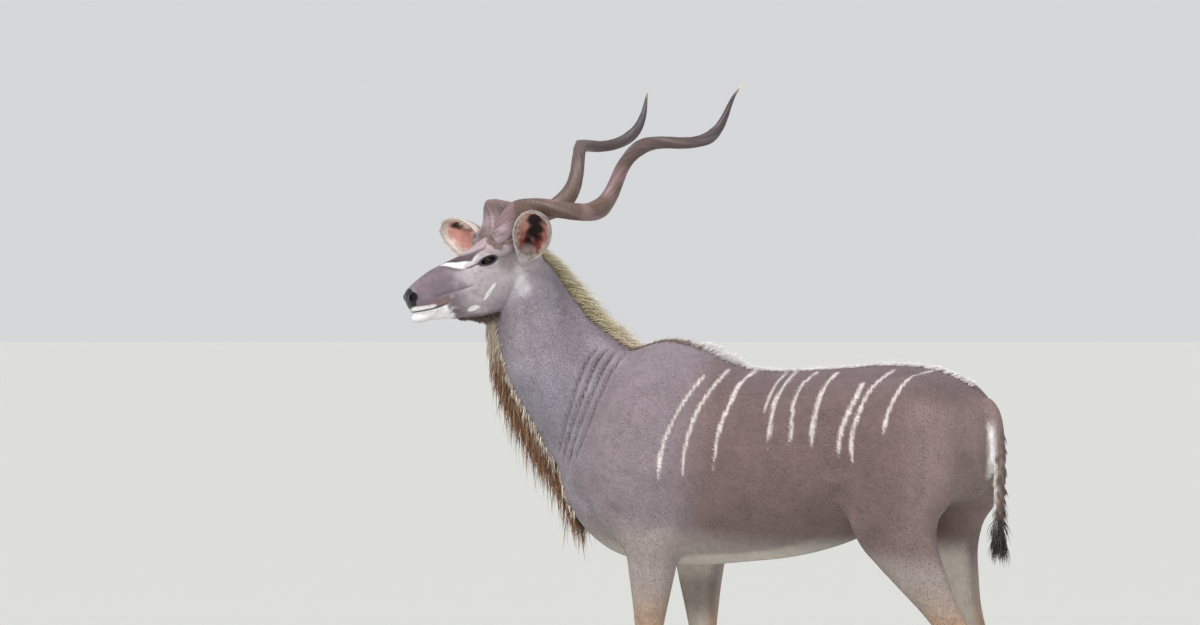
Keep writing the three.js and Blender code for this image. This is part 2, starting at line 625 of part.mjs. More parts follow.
function throatFringe() {
  const random = randomFrom(11);
  const locks = [];
  for (const row of throatRows) {
    for (let k = 0; k < throatLocks.perRow; k++) {
      const share = (k + 0.5 * Math.abs(row) + 0.3 * random()) / throatLocks.perRow;
      const { s, centre, across, nape } = neckFrame(lerp(throatLocks.from, throatLocks.to, clamp01(share)));
      const sideways = row * 0.15 + 0.05 * (random() - 0.5);
      const out = nape.clone().multiplyScalar(-Math.cos(sideways)).addScaledVector(across, Math.sin(sideways));
      const root = centre
        .clone()
        .addScaledVector(nape, -s.drop * Math.cos(sideways))
        .addScaledVector(across, s.half * Math.sin(sideways));
      const lie = vec(0, 0, -1).addScaledVector(out, 0.02 + 0.08 * random());
      lie.addScaledVector(across, 0.14 * (random() - 0.5)).normalize();
      const face = across.clone().addScaledVector(out, 0.7 * row);
      const length = lerp(205, 62, smooth((share - 0.25) / 0.75)) * (0.85 + 0.3 * random());
      locks.push(hairLock({ ...throatLocks, root, out, lie, face, length, lift: 0.1, sink: 22 }));
    }
  }
  return locks;
}

function napeMane() {
  const random = randomFrom(23);
  const locks = [];
  for (const row of [-0.5, 0.5]) {
    for (let k = 0; k < napeLocks.perRow; k++) {
      const share = (k + 0.5 + row) / napeLocks.perRow;
      const { s, centre, across, nape, along } = neckFrame(lerp(napeLocks.from, napeLocks.to, share));
      const root = centre.clone().addScaledVector(nape, s.rise - 2).addScaledVector(across, row * 12);
      const lie = nape.clone().multiplyScalar(0.5).addScaledVector(along, -0.85);
      lie.addScaledVector(across, 0.12 * row + 0.1 * (random() - 0.5)).normalize();
      const length = 78 * (0.6 + 0.4 * Math.sin(Math.PI * share)) * (0.85 + 0.3 * random());
      locks.push(hairLock({ ...napeLocks, root, out: nape, lie, face: across, length, lift: 0.25, sink: 18 }));
    }
  }
  return locks;
}

function spineCrest() {
  const random = randomFrom(37);
  return Array.from({ length: crestLocks.count }, (_, k) => {
    const y = lerp(crestLocks.from, crestLocks.to, k / (crestLocks.count - 1));
    const root = vec(0, y, trunkAt(y).top - 1);
    const lie = vec(0.16 * (random() - 0.5), 1, 0.1).normalize();
    const length = 76 * (0.85 + 0.3 * random());
    return hairLock({ ...crestLocks, root, out: upBody, lie, face: acrossBody, length, lift: 0.14, sink: 10 });
  });
}

function tailTuft() {
  const random = randomFrom(41);
  return Array.from({ length: tailLocks.count }, (_, k) => {
    const share = k / tailLocks.count;
    const s = blendStations(tailStations, 0.72 + 0.24 * share);
    const angle = 2.4 * k;
    const out = vec(Math.cos(angle), Math.sin(angle), 0);
    const root = vec(s.x + out.x * s.wide * 0.4, s.y + out.y * s.deep * 0.4, s.z);
    const lie = vec(0.1 * (random() - 0.5), 0.06, -1).normalize();
    const length = 120 * (0.8 + 0.3 * random());
    return hairLock({ ...tailLocks, root, out, lie, face: out, length, lift: 0.1, sink: 8 });
  });
}

function trunkAt(y) {
  let low = 0;
  let high = 1;
  for (let k = 0; k < 30; k++) {
    const middle = (low + high) / 2;
    if (blendStations(trunkStations, middle).y < y) low = middle;
    else high = middle;
  }
  return blendStations(trunkStations, low);
}

// Cutting shapes, seen from the side: the torso keeps what is behind the root of the neck
const far = 3000;
const neckCut = [
  [-138, 1480],
  [-150, 1360],
  [-330, 960],
  [-372, 900],
];
function sideProfile(outline) {
  return prism(outline, vec(0, 0, 0), vec(0, 1, 0), upBody, acrossBody, 900);
}
function behindNeck(gap) {
  const line = neckCut.map(([y, z]) => [y + gap, z]);
  return sideProfile([[line[0][0], far], ...line, [line[3][0], -far], [far, -far], [far, far]]);
}
const headCut = [
  [-418, 90],
  [-400, 40],
  [-300, -110],
  [-262, -172],
];
function headSide(gap) {
  const line = headCut.map(([u, w]) => [u + gap, w]);
  const outline = [[line[0][0], far], ...line, [far, line[3][1]], [far, far]];
  return prism(outline, noseTip, headU, headW, headV.clone().negate(), 900);
}
const trunkCuts = [250, 640]; // where the torso is parted into chest, barrel and hindquarters
const slab = (axis, low, high) => {
  const size = new THREE.Vector3(far, far, far);
  const middle = new THREE.Vector3(0, 0, 0);
  size[axis] = high - low;
  middle[axis] = (high + low) / 2;
  const box = new THREE.BoxGeometry(size.x, size.y, size.z);
  box.translate(middle.x, middle.y, middle.z);
  return solid(box);
};
function block(x0, x1, y0, y1, z0, z1) {
  const box = new THREE.BoxGeometry(x1 - x0, y1 - y0, z1 - z0);
  box.translate((x0 + x1) / 2, (y0 + y1) / 2, (z0 + z1) / 2);
  return solid(box);
}

// Materials
const finish = (color, roughness) => new THREE.MeshStandardMaterial({ color, roughness, metalness: 0 });
const materials = {
  coat: finish(0x8d8078, 0.9),
  mane: finish(0x8a7458, 0.9),
  ear: finish(0xa08a80, 0.85),
  eye: finish(0x0d0a09, 0.1),
  horn: finish(0x4b3d36, 0.5),
  hoof: finish(0x2a2624, 0.6),
};

const kudu = new THREE.Group();
function addNode(name, body, material) {
  const mesh = largest(body).simplify(simplifyBy).getMesh();
  const geometry = new THREE.BufferGeometry();
  const stride = mesh.numProp;
  const points = [];
  for (let i = 0; i < mesh.numVert; i++) points.push(...mesh.vertProperties.subarray(i * stride, i * stride + 3));
  geometry.setAttribute("position", new THREE.Float32BufferAttribute(points, 3));
  geometry.setIndex(new THREE.BufferAttribute(new Uint32Array(mesh.triVerts), 1));
  const node = new THREE.Mesh(geometry, material);
  node.name = name;
  kudu.add(node);
}

// The flesh as one body
const limbs = sides.flatMap(({ name, sign }) => [
  limb(onSide(shoulderStations, sign), 7, 12),
  limb(onSide(foreleg(foreStep[name]), sign), 17, 10),
  limb(onSide(haunchStations, sign), 6, 12),
  limb(onSide(hindleg(hindStep[name]), sign), 17, 10),
]);
const trunk = join([trunkBody(), ...limbs.filter((_, k) => k % 2 === 0)]);
const tail = limb(tailStations, 9, 8);
const legs = join(limbs.filter((_, k) => k % 2 === 1));
const neck = neckBody();
const head = headBody();

const eyes = sides.map(({ sign }) => ellipsoid(eyeCentre(sign), headAxes, Array(3).fill(eyeRadius), 12));
const horns = sides.map(({ sign }) => hornBody(sign));
const ears = sides.map(({ name }) => earBody(name));

const legSpace = sides.flatMap(({ sign }) => {
  const [inside, outside] = sign > 0 ? [0, 400] : [-400, 0];
  return [
    { sign, kind: "fore", top: foreCut, middle: kneeCut, x: [inside, outside], y: [-250, 240] },
    { sign, kind: "hind", top: hindCut, middle: hockCut, x: [inside, outside], y: [640, 1300] },
  ];
});

const headOnly = headSide(nodeGap);
const neckLimit = headSide(0);
const torsoOnly = behindNeck(nodeGap);
const torsoLimit = behindNeck(0);

const eyeSockets = sides.map(({ sign }) =>
  ellipsoid(eyeCentre(sign), headAxes, Array(3).fill(eyeRadius + nodeGap), 12),
);
const mouth = mouthGroove().subtract(headLoft(mouthDepth));
const nostrils = sides.map(({ sign }) => nostrilHole(sign));
let headNode = cut(head.intersect(headOnly), [
  ...eyeSockets,
  ...sides.map(({ sign }) => eyeOpening(sign)),
  mouth,
  ...nostrils,
]);
const earSpaces = sides.map(({ name }) => earBody(name, nodeGap));
headNode = cut(headNode, [...sides.map(({ sign }) => hornBody(sign, nodeGap)), ...earSpaces]);
addNode("head", headNode, materials.coat);
sides.forEach(({ name }, k) => {
  addNode(`eye_${name}`, eyes[k], materials.eye);
  addNode(`horn_${name}`, horns[k], materials.horn);
  addNode(`ear_${name}`, ears[k], materials.ear);
});

const neckNode = cut(join([neck.add(trunk), ...throatFringe(), ...napeMane()]), [
  neckLimit,
  torsoLimit,
  ...earSpaces,
]);
addNode("neck", neckNode, materials.coat);

const crest = spineCrest();
const tailNode = join([tail, ...tailTuft()]);
const legBlocks = legSpace.map((l) => block(l.x[0], l.x[1], l.y[0], l.y[1], -50, l.top + nodeGap));
const tailSpace = limb(tailStations, 9, 8, 2 * nodeGap);
const torso = cut(join([trunk, neck, legs, ...crest]).intersect(torsoOnly), [...legBlocks, tailSpace]);
const trunkParts = [
  { name: "chest", low: -far, high: trunkCuts[0] },
  { name: "barrel", low: trunkCuts[0] + nodeGap, high: trunkCuts[1] },
  { name: "hindquarters", low: trunkCuts[1] + nodeGap, high: far },
];
for (const part of trunkParts) addNode(part.name, torso.intersect(slab("y", part.low, part.high)), materials.coat);
addNode("tail", tailNode, materials.coat);

for (const l of legSpace) {
  const side = sides.find((s) => s.sign === l.sign).name;
  const step = l.kind === "fore" ? foreStep[side] : hindStep[side];
  const stations = onSide(l.kind === "fore" ? foreleg(step) : hindleg(step), l.sign);
  const coronet = stations[stations.length - 1];
  const heelY = coronet.y + 30;
  const [claws, clawSpaces] = [0, nodeGap].map((gap) =>
    [false, true].map((inner) => claw(coronet.x, heelY, l.sign, inner, gap)),
  );
  const whole = join([trunk, legs]);
  const upper = whole.intersect(block(l.x[0], l.x[1], l.y[0], l.y[1], l.middle + nodeGap, l.top));
  const dewclaws = [-1, 1].map((d) =>
    ellipsoid(
      vec(coronet.x + d * 17, coronet.y + 52, 100),
      [acrossBody, vec(0, 1, 0), upBody],
      [9, 12, 17],
      6,
    ),
  );
  const lowerFlesh = join([whole, ...dewclaws]).intersect(block(l.x[0], l.x[1], l.y[0], l.y[1], -50, l.middle));
  const lower = cut(lowerFlesh, clawSpaces);
  const prefix = `${l.kind}leg_${side}`;
  addNode(`${prefix}_upper`, upper, materials.coat);
  addNode(`${prefix}_lower`, lower, materials.coat);
  addNode(`${prefix}_claw_outer`, claws[0], materials.hoof);
  addNode(`${prefix}_claw_inner`, claws[1], materials.hoof);
}

kudu.updateMatrixWorld(true);
const bounds = new THREE.Box3().setFromObject(kudu, true);
const footprintMiddle = bounds.getCenter(vec());
kudu.position.set(-footprintMiddle.x, -footprintMiddle.y, -bounds.min.z);

export default kudu;
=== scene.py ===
import bmesh
import bpy
import numpy as np
from mathutils import Matrix, Vector
from mathutils.bvhtree import BVHTree
from mathutils.kdtree import KDTree


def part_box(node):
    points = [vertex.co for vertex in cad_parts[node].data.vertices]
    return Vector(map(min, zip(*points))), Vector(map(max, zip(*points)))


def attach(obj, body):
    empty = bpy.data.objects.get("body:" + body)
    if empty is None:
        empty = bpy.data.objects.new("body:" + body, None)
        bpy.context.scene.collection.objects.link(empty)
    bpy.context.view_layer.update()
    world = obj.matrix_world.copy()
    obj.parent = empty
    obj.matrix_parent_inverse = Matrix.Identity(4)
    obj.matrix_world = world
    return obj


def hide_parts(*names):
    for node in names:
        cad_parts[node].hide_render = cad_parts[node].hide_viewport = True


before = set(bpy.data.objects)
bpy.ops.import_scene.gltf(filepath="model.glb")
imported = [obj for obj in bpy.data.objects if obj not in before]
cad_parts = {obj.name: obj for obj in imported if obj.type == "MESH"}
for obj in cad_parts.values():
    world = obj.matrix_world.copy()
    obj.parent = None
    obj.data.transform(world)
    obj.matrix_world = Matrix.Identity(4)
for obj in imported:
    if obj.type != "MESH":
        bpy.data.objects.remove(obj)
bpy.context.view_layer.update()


def unit(v):
    v = np.asarray(v, float)
    return v / np.maximum(np.linalg.norm(v, axis=-1, keepdims=True), 1e-9)


def smooth(t):
    t = np.clip(t, 0.0, 1.0)
    return t * t * (3 - 2 * t)


def blended(stations, t):  # Catmull-Rom values of a list of (name, numbers...) at shares t
    rows = np.array([s[1:] for s in stations], float)
    last = len(rows) - 1
    place = np.clip(np.atleast_1d(np.asarray(t, float)), 0, 1) * last
    i = np.minimum(last - 1, np.floor(place).astype(int))
    f = (place - i)[:, None]
    a, b, c, d = (rows[np.clip(i + k, 0, last)] for k in (-1, 0, 1, 2))
    return 0.5 * (2 * b + (c - a) * f + (2 * a - 5 * b + 4 * c - d) * f**2 + (3 * b - a - 3 * c + d) * f**3)


def headingAt(stations, t):
    return unit(blended(stations, t + 0.01)[:, :3] - blended(stations, t - 0.01)[:, :3])


def shareAt(stations, column, value):  # the share at which a rising column reaches a value
    shares = np.linspace(0, 1, 400)
    return np.interp(value, blended(stations, shares)[:, column], shares)


def ovalRings(centre, side, up, half, rise, drop, roundTop, roundBottom, count):
    angle = 2 * np.pi * np.arange(count) / count
    c, s = np.cos(angle), np.sin(angle)
    power = np.where(s >= 0, 2 / np.reshape(roundTop, (-1, 1)), 2 / np.reshape(roundBottom, (-1, 1)))
    across = np.reshape(half, (-1, 1)) * np.sign(c) * np.abs(c) ** power
    reach = np.where(s >= 0, np.reshape(rise, (-1, 1)), np.reshape(drop, (-1, 1)))
    lift = reach * np.sign(s) * np.abs(s) ** power
    centre, side, up = (np.broadcast_to(a, (len(lift), 3)) for a in (centre, side, up))
    return centre[:, None] + side[:, None] * across[..., None] + up[:, None] * lift[..., None]


def ringFaces(ringCount, count, stripEnds=False):
    faces = []
    for r in range(ringCount - 1):
        for k in range(count):
            a, b = r * count + k, r * count + (k + 1) % count
            faces.append((a, b, b + count, a + count))
    last = (ringCount - 1) * count
    if stripEnds:  # a bent strip: outer half, then inner half going back
        for k in range(count // 2 - 1):
            across = count - 1 - k
            faces.append((k, across, across - 1, k + 1))
            faces.append((last + k, last + k + 1, last + across - 1, last + across))
    else:
        faces.append(tuple(range(count))[::-1])
        faces.append(tuple(range(last, last + count)))
    return faces


def loft(rings, stripEnds=False):
    rings = np.asarray(rings, float)
    return rings.reshape(-1, 3), ringFaces(rings.shape[0], rings.shape[1], stripEnds)


def ellipsoid(centre, axes, radii, count=48):
    polar = np.linspace(0.04, np.pi - 0.04, count // 2)
    angle = 2 * np.pi * np.arange(count) / count
    ball = np.stack(
        [
            np.sin(polar)[:, None] * np.cos(angle),
            np.sin(polar)[:, None] * np.sin(angle),
            np.repeat(np.cos(polar)[:, None], count, 1),
        ],
        -1,
    )
    basis = np.asarray(axes, float) * np.reshape(radii, (3, 1))
    return loft(np.asarray(centre) + ball @ basis)


def prism(outline, origin, alongU, alongW, across, reach):
    flat = np.asarray(outline, float)
    ring = np.asarray(origin) + flat[:, :1] * np.asarray(alongU) + flat[:, 1:] * np.asarray(alongW)
    return loft(np.stack([ring - np.asarray(across) * reach, ring + np.asarray(across) * reach]))


def meshOf(name, verts, faces):
    made = bpy.data.meshes.new(name)
    made.from_pydata(np.asarray(verts).tolist(), [], [tuple(map(int, f)) for f in faces])
    made.validate()
    return made


def linked(name, data):
    made = bpy.data.objects.new(name, data)
    bpy.context.scene.collection.objects.link(made)
    return made


def objectOf(name, verts, faces):
    return linked(name, meshOf(name, verts, faces))


def joined(parts):
    verts, faces, start = [], [], 0
    for v, f in parts:
        verts.append(v)
        faces.extend([tuple(k + start for k in face) for face in f])
        start += len(v)
    return np.concatenate(verts), faces


def edited(obj, change):
    bm = bmesh.new()
    bm.from_mesh(obj.data)
    change(bm)
    bm.to_mesh(obj.data)
    bm.free()
    return obj


def outward(obj):
    return edited(obj, lambda bm: bmesh.ops.recalc_face_normals(bm, faces=bm.faces))


def applied(obj):  # the object's modifiers worked into its mesh
    evaluated = obj.evaluated_get(bpy.context.evaluated_depsgraph_get())
    made = bpy.data.meshes.new_from_object(evaluated)
    obj.modifiers.clear()
    old = obj.data
    obj.data = made
    bpy.data.meshes.remove(old)
    return obj


def drop(obj):
    data = obj.data
    bpy.data.objects.remove(obj)
    if data.users == 0:
        bpy.data.meshes.remove(data)


def remeshed(name, parts, voxel):
    obj = outward(objectOf(name, *joined(parts)))
    mod = obj.modifiers.new("remesh", "REMESH")
    mod.mode = "VOXEL"
    mod.voxel_size = voxel
    return applied(obj)


def combined(obj, part, operation):
    other = outward(objectOf("tool", *part))
    mod = obj.modifiers.new("join", "BOOLEAN")
    mod.operation = operation
    mod.solver = "MANIFOLD"
    mod.object = other
    applied(obj)
    drop(other)
    return obj


def gathered(items, attribute, width, kind=float):
    out = np.empty(len(items) * width, kind)
    items.foreach_get(attribute, out)
    return out.reshape(-1, width)


def coords(data):
    return gathered(data.vertices, "co", 3)


def vertexNormals(data):
    return gathered(data.vertex_normals, "vector", 3, np.float32).astype(float)


def edgePairs(data):
    return gathered(data.edges, "vertices", 2, int)


def trianglesOf(data):
    data.calc_loop_triangles()
    return gathered(data.loop_triangles, "vertices", 3, np.int32)


def setCoords(data, points):
    data.vertices.foreach_set("co", np.asarray(points, float).ravel())
    data.update()


def averaged(values, pairs, count):  # mean over each vertex's neighbours
    one, other = pairs.T
    total = np.stack([np.bincount(one, column[other], count) + np.bincount(other, column[one], count)
                      for column in values.T], 1)
    near = np.bincount(pairs.ravel(), minlength=count)
    return total / np.maximum(near, 1)[:, None]


def relaxed(data, rounds, weight=1.0, shrinkBack=-0.53):  # Taubin smoothing, in place
    points, pairs = coords(data), edgePairs(data)
    weight = np.broadcast_to(np.reshape(weight, (-1, 1)), (len(points), 1))
    for _ in range(rounds):
        for step in (0.5, shrinkBack):
            points = points + step * weight * (averaged(points, pairs, len(points)) - points)
    setCoords(data, points)


def speckle(points, size, seed=0):  # smooth lattice noise from -1 to 1
    q = np.asarray(points) / size
    base = np.floor(q).astype(np.int64)
    f = q - base
    f = f * f * (3 - 2 * f)
    total = np.zeros(len(q))
    for corner in np.ndindex(2, 2, 2):
        n = base + corner
        h = (n[:, 0] * 73856093) ^ (n[:, 1] * 19349663) ^ (n[:, 2] * 83492791) ^ (seed * 2654435761 + 12345)
        h = ((h ^ (h >> 13)) * 1274126177) & 0x7FFFFFFF
        h = ((h ^ (h >> 11)) * 668265263) & 0x7FFFFFFF
        w = np.prod(np.where(np.array(corner) == 1, f, 1 - f), axis=1)
        total += w * ((h % 65536) / 32768 - 1)
    return total


def distanceToPath(points, path):  # distance to a run of straight pieces, and the share along it
    path = np.asarray(path, float)
    best = np.full(len(points), 1e9)
    share = np.zeros(len(points))
    lengths = np.linalg.norm(np.diff(path, axis=0), axis=1)
    starts = np.concatenate([[0], np.cumsum(lengths)])
    for k, (a, b) in enumerate(zip(path[:-1], path[1:])):
        t = np.clip(((points - a) @ (b - a)) / max(lengths[k] ** 2, 1e-9), 0, 1)
        d = np.linalg.norm(points - (a + t[:, None] * (b - a)), axis=1)
        near = d < best
        best[near] = d[near]
        share[near] = (starts[k] + t[near] * lengths[k]) / starts[-1]
    return best, share


# The animal's own sizes. The skin lies under the coat's surface by its depth.
coatDepth = 3.0
acrossBody, upBody = np.array([1.0, 0, 0]), np.array([0, 0, 1.0])

trunkStations = [  # y, top, bottom, half width, level of the widest point, roundness above and below
    ("breast", -352, 1190, 985, 60, 1085, 2, 2),
    ("shoulder points", -318, 1262, 868, 132, 1060, 2, 2),
    ("breastbone", -220, 1335, 780, 178, 1050, 1.9, 2),
    ("front of withers", -110, 1376, 745, 192, 1040, 1.75, 2.1),
    ("withers", 0, 1400, 735, 204, 1025, 1.7, 2.1),
    ("behind withers", 105, 1378, 735, 220, 1020, 1.75, 2.2),
    ("dip", 235, 1322, 745, 236, 1015, 1.9, 2.2),
    ("ribs", 400, 1314, 762, 242, 1025, 2, 2.2),
    ("loin", 560, 1322, 800, 230, 1050, 2, 2.1),
    ("flank", 700, 1332, 858, 208, 1080, 2, 2),
    ("croup", 840, 1326, 905, 190, 1090, 2, 2),
    ("tail root", 965, 1288, 930, 165, 1095, 2, 2),
    ("buttocks", 1034, 1225, 980, 104, 1095, 2, 2),
    ("rear end", 1062, 1160, 1035, 42, 1095, 2, 2),
]


def trunkPart():
    y, top, bottom, half, level, roundTop, roundBottom = blended(trunkStations, np.linspace(0, 1, 90)).T
    centre = np.stack([0 * y, y, level], 1)
    return loft(ovalRings(centre, acrossBody, upBody, half - coatDepth, top - level - coatDepth,
                          level - bottom - coatDepth, roundTop, roundBottom, 96))


def limbPart(stations, ringCount=80, sideCount=48, shrink=coatDepth):
    t = np.linspace(0, 1, ringCount)
    rows, along = blended(stations, t), headingAt(stations, t)
    fore = unit(np.cross(acrossBody, along))
    side = unit(np.cross(along, fore))
    deep, wide = rows[:, 3] / 2 - shrink, rows[:, 4] / 2 - shrink
    return loft(ovalRings(rows[:, :3], side, fore, wide, deep, deep, 2.0, 2.0, sideCount))


# Legs: x for the left side, y, z, depth fore and aft, width. The step slides the foot along Y.
legStep = {"foreleg_": {"left": -45, "right": 60}, "hindleg_": {"left": 70, "right": -75}}
shoulderStations = [
    ("blade top", 52, -10, 1330, 110, 50),
    ("blade", 108, -40, 1225, 240, 140),
    ("shoulder", 138, -88, 1080, 320, 172),
    ("upper arm", 152, -50, 940, 290, 168),
    ("elbow", 146, 0, 830, 215, 140),
    ("forearm top", 138, 6, 745, 165, 116),
]
haunchStations = [
    ("croup", 92, 800, 1275, 210, 110),
    ("hip", 130, 838, 1160, 350, 170),
    ("thigh", 142, 838, 1020, 380, 176),
    ("stifle", 146, 812, 900, 318, 150),
    ("second thigh top", 142, 838, 800, 232, 122),
]


legStations = {  # below those: the last value is the share of the step that reaches this height
    "foreleg_": [
        ("upper arm", 148, -30, 900, 230, 140, 0),
        ("elbow", 144, 4, 815, 196, 128, 0),
        ("forearm", 136, 4, 700, 142, 104, 0.12),
        ("lower forearm", 128, 2, 560, 92, 74, 0.35),
        ("above knee", 123, 0, 478, 76, 68, 0.5),
        ("knee", 121, -4, 428, 80, 74, 0.6),
        ("below knee", 120, 0, 372, 60, 56, 0.68),
        ("cannon", 118, 2, 260, 50, 43, 0.82),
        ("above fetlock", 117, 2, 160, 54, 46, 0.94),
        ("fetlock", 117, 0, 116, 68, 60, 1),
        ("pastern", 117, -18, 76, 60, 60, 1),
        ("coronet", 117, -30, 44, 78, 68, 1),
    ],
    "hindleg_": [
        ("thigh", 142, 820, 930, 320, 146, 0),
        ("stifle", 144, 826, 850, 270, 136, 0.05),
        ("second thigh", 138, 868, 745, 180, 108, 0.2),
        ("lower thigh", 130, 925, 630, 112, 76, 0.4),
        ("above hock", 125, 972, 540, 92, 62, 0.58),
        ("hock", 122, 992, 480, 98, 70, 0.66),
        ("below hock", 120, 990, 405, 72, 56, 0.72),
        ("cannon", 118, 982, 290, 54, 44, 0.85),
        ("above fetlock", 117, 974, 172, 56, 47, 0.96),
        ("fetlock", 117, 968, 120, 70, 60, 1),
        ("pastern", 117, 948, 76, 60, 58, 1),
        ("coronet", 117, 936, 44, 77, 66, 1),
    ],
}


def onSide(stations, sign):
    return [(s[0], s[1] * sign, *s[2:]) for s in stations]


def stepped(stations, step):
    return [(name, x, y + share * step, z, deep, wide) for name, x, y, z, deep, wide, share in stations]


sides = {"left": 1, "right": -1}
legs = {kind + side: onSide(stepped(stations, legStep[kind][side]), sign)
        for side, sign in sides.items() for kind, stations in legStations.items()}

tailStations = [
    ("root", 0, 985, 1235, 62, 66),
    ("bend", 0, 1052, 1195, 50, 54),
    ("upper", 0, 1078, 1110, 38, 44),
    ("middle", 0, 1082, 1000, 30, 38),
    ("lower", 0, 1080, 900, 24, 32),
    ("end", 0, 1076, 820, 12, 16),
]

neckStations = [  # x, y, z, half width, towards the nape, towards the throat, heading in degrees
    ("in the chest", 0, -60, 1075, 165, 235, 240, 0),
    ("root", 2, -205, 1160, 158, 222, 226, 4),
    ("lower neck", 16, -302, 1262, 142, 184, 200, 14),
    ("middle", 44, -378, 1362, 126, 150, 174, 24),
    ("upper neck", 88, -428, 1470, 104, 129, 142, 35),
    ("behind the jaw", 142, -456, 1560, 86, 118, 106, 46),
    ("in the head", 188, -476, 1610, 62, 88, 72, 52),
]


def neckFrame(t):
    t = np.atleast_1d(t)
    rows, along = blended(neckStations, t), headingAt(neckStations, t)
    yaw = np.radians(rows[:, 6])
    heading = np.stack([np.sin(yaw), -np.cos(yaw), 0 * yaw], 1)
    across = np.cross(upBody, heading)
    across = unit(across - along * np.sum(across * along, 1, keepdims=True))
    nape = unit(np.cross(across, along))
    nape = nape * -np.sign(np.sum(nape * heading, 1, keepdims=True))
    return rows, across, nape, along


def neckPart(first=0.0, last=1.0, ringCount=90):
    rows, across, nape, _ = neckFrame(np.linspace(first, last, ringCount))
    return loft(ovalRings(rows[:, :3], across, nape, rows[:, 3] - coatDepth, rows[:, 4] - coatDepth,
                          rows[:, 5] - coatDepth, 1.8, 1.9, 96))


# Head frame: u forward along the face, v to the animal's left, w from the jaw up to the brow
headPose = {"turn": 53, "pitch": 20, "noseTip": (440, -662, 1529)}
turn, pitch = np.radians(headPose["turn"]), np.radians(headPose["pitch"])
ahead = np.array([np.sin(turn), -np.cos(turn), 0])
headV = unit(np.cross(upBody, ahead))
headU = ahead * np.cos(pitch) - upBody * np.sin(pitch)
headW = ahead * np.sin(pitch) + upBody * np.cos(pitch)
headAxes = np.stack([headU, headV, headW])
noseTip = np.array(headPose["noseTip"], float)


def inHead(u, v, w):
    return noseTip + np.asarray([u, v, w], float) @ headAxes


def sidePlace(place, sign):  # a place of the left side, or the same on the right
    return inHead(place[0], sign * place[1], place[2])


def headPlaces(points):  # u, v, w of points
    return (np.asarray(points) - noseTip) @ headAxes.T


headStations = [  # u, top, bottom, half width, level of the widest point, roundness above and below
    ("nose", 2, -10, -30, 9, -20, 2, 2),
    ("nose front", -1, 2, -46, 21, -21, 2, 2),
    ("nose pad", -7, 12, -64, 30, -22, 2.2, 2),
    ("nostrils", -24, 21, -84, 36, -24, 2.2, 2.1),
    ("lips", -55, 33, -97, 37, -34, 2, 2.1),
    ("mouth corner", -95, 44, -108, 39, -40, 1.9, 2.1),
    ("muzzle", -140, 49, -124, 46, -42, 1.9, 2),
    ("cheek", -185, 52, -138, 55, -32, 2, 2),
    ("below the eye", -225, 56, -147, 64, -18, 2.2, 2),
    ("eye", -265, 65, -148, 68, -8, 2.4, 2),
    ("brow", -305, 76, -140, 68, -8, 2.4, 2),
    ("horn seat", -345, 74, -126, 70, -4, 2.2, 1.8),
    ("poll", -390, 58, -110, 66, -16, 2, 2),
    ("nape", -430, 28, -88, 52, -30, 2, 2),
]
faceDepth = 1.2  # the coat is shortest on the face


def headRings(shrink, ringCount=130, sideCount=96):
    u, top, bottom, half, level, roundTop, roundBottom = blended(headStations, np.linspace(0, 1, ringCount)).T
    centre = noseTip + (u - shrink)[:, None] * headU + level[:, None] * headW
    return ovalRings(centre, headV, headW, half - shrink, top - level - shrink, level - bottom - shrink,
                     roundTop, roundBottom, sideCount)


# Eyes: the ball's radius and place, and the opening between the lids
eyes = {"radius": 20.5, "place": (-263, 52, 16), "forward": 0.34, "halfLong": 22, "up": 12.5, "down": 9.5,
        "lid": 4}


def eyeCentre(sign):
    return sidePlace(eyes["place"], sign)


def eyeFrame(sign):
    look = unit(headV * sign + headU * eyes["forward"])
    long = unit(np.cross(headW, look))
    return look, long, unit(np.cross(look, long))


def lidOutline(count=56, grow=0.0):
    angle = 2 * np.pi * np.arange(count) / count
    s, c = np.sin(angle), np.cos(angle)
    reach = np.where(s > 0, eyes["up"], eyes["down"]) + grow
    return np.stack([(eyes["halfLong"] + grow) * c, reach * np.sign(s) * np.abs(s) ** 1.25], 1)


def eyeOpening(sign):
    look, long, rise = eyeFrame(sign)
    return prism(lidOutline(), eyeCentre(sign) + look * 30, long, rise, look, 28)


def headParts():
    parts = [
        loft(headRings(faceDepth)),
        ellipsoid(inHead(-38, 0, -74), headAxes, (41, 27, 19)),  # chin
        ellipsoid(inHead(-34, 0, -34), headAxes, (34, 35, 21)),  # upper lip
    ]
    for sign in sides.values():
        socket = eyeCentre(sign) + headW * 5 - headV * 7 * sign
        parts += [
            ellipsoid(socket, headAxes, (49, 23, 29)),
            ellipsoid(eyeCentre(sign), headAxes, [eyes["radius"] + eyes["lid"] - 1] * 3),
            ellipsoid(sidePlace((-19, 20, -10), sign), headAxes, (19, 16, 17)),  # nostril wing
            ellipsoid(sidePlace((-318, 46, 40), sign), headAxes, (54, 45, 33)),  # horn seat
            ellipsoid(sidePlace((-380, 60, 2), sign), headAxes, (34, 24, 32)),  # ear root
        ]
    for name in sides:  # skin that closes the foot of the ear in front
        base, along, opening, across = earFrame(name)
        parts.append(ellipsoid(base + along * 4 + opening * 24, (along, opening, across), (26, 13, 20)))
    return parts


mouthLine = [(-99, -62), (-80, -63), (-50, -60), (-18, -55), (12, -50)]  # u and w, from the corner forward
nostrilPlace = (-10, 27, -8)


def mouthLevel(u):
    return np.interp(u, *np.array(mouthLine).T)


def mouthGroove(gap=3.0, depth=7.0):
    upper = [(u, w + gap / 2) for u, w in mouthLine[::-1]]
    lower = [(u, w - gap / 2) for u, w in mouthLine]
    return prism(upper + lower, noseTip, headU, headW, headV, 60), loft(headRings(depth))


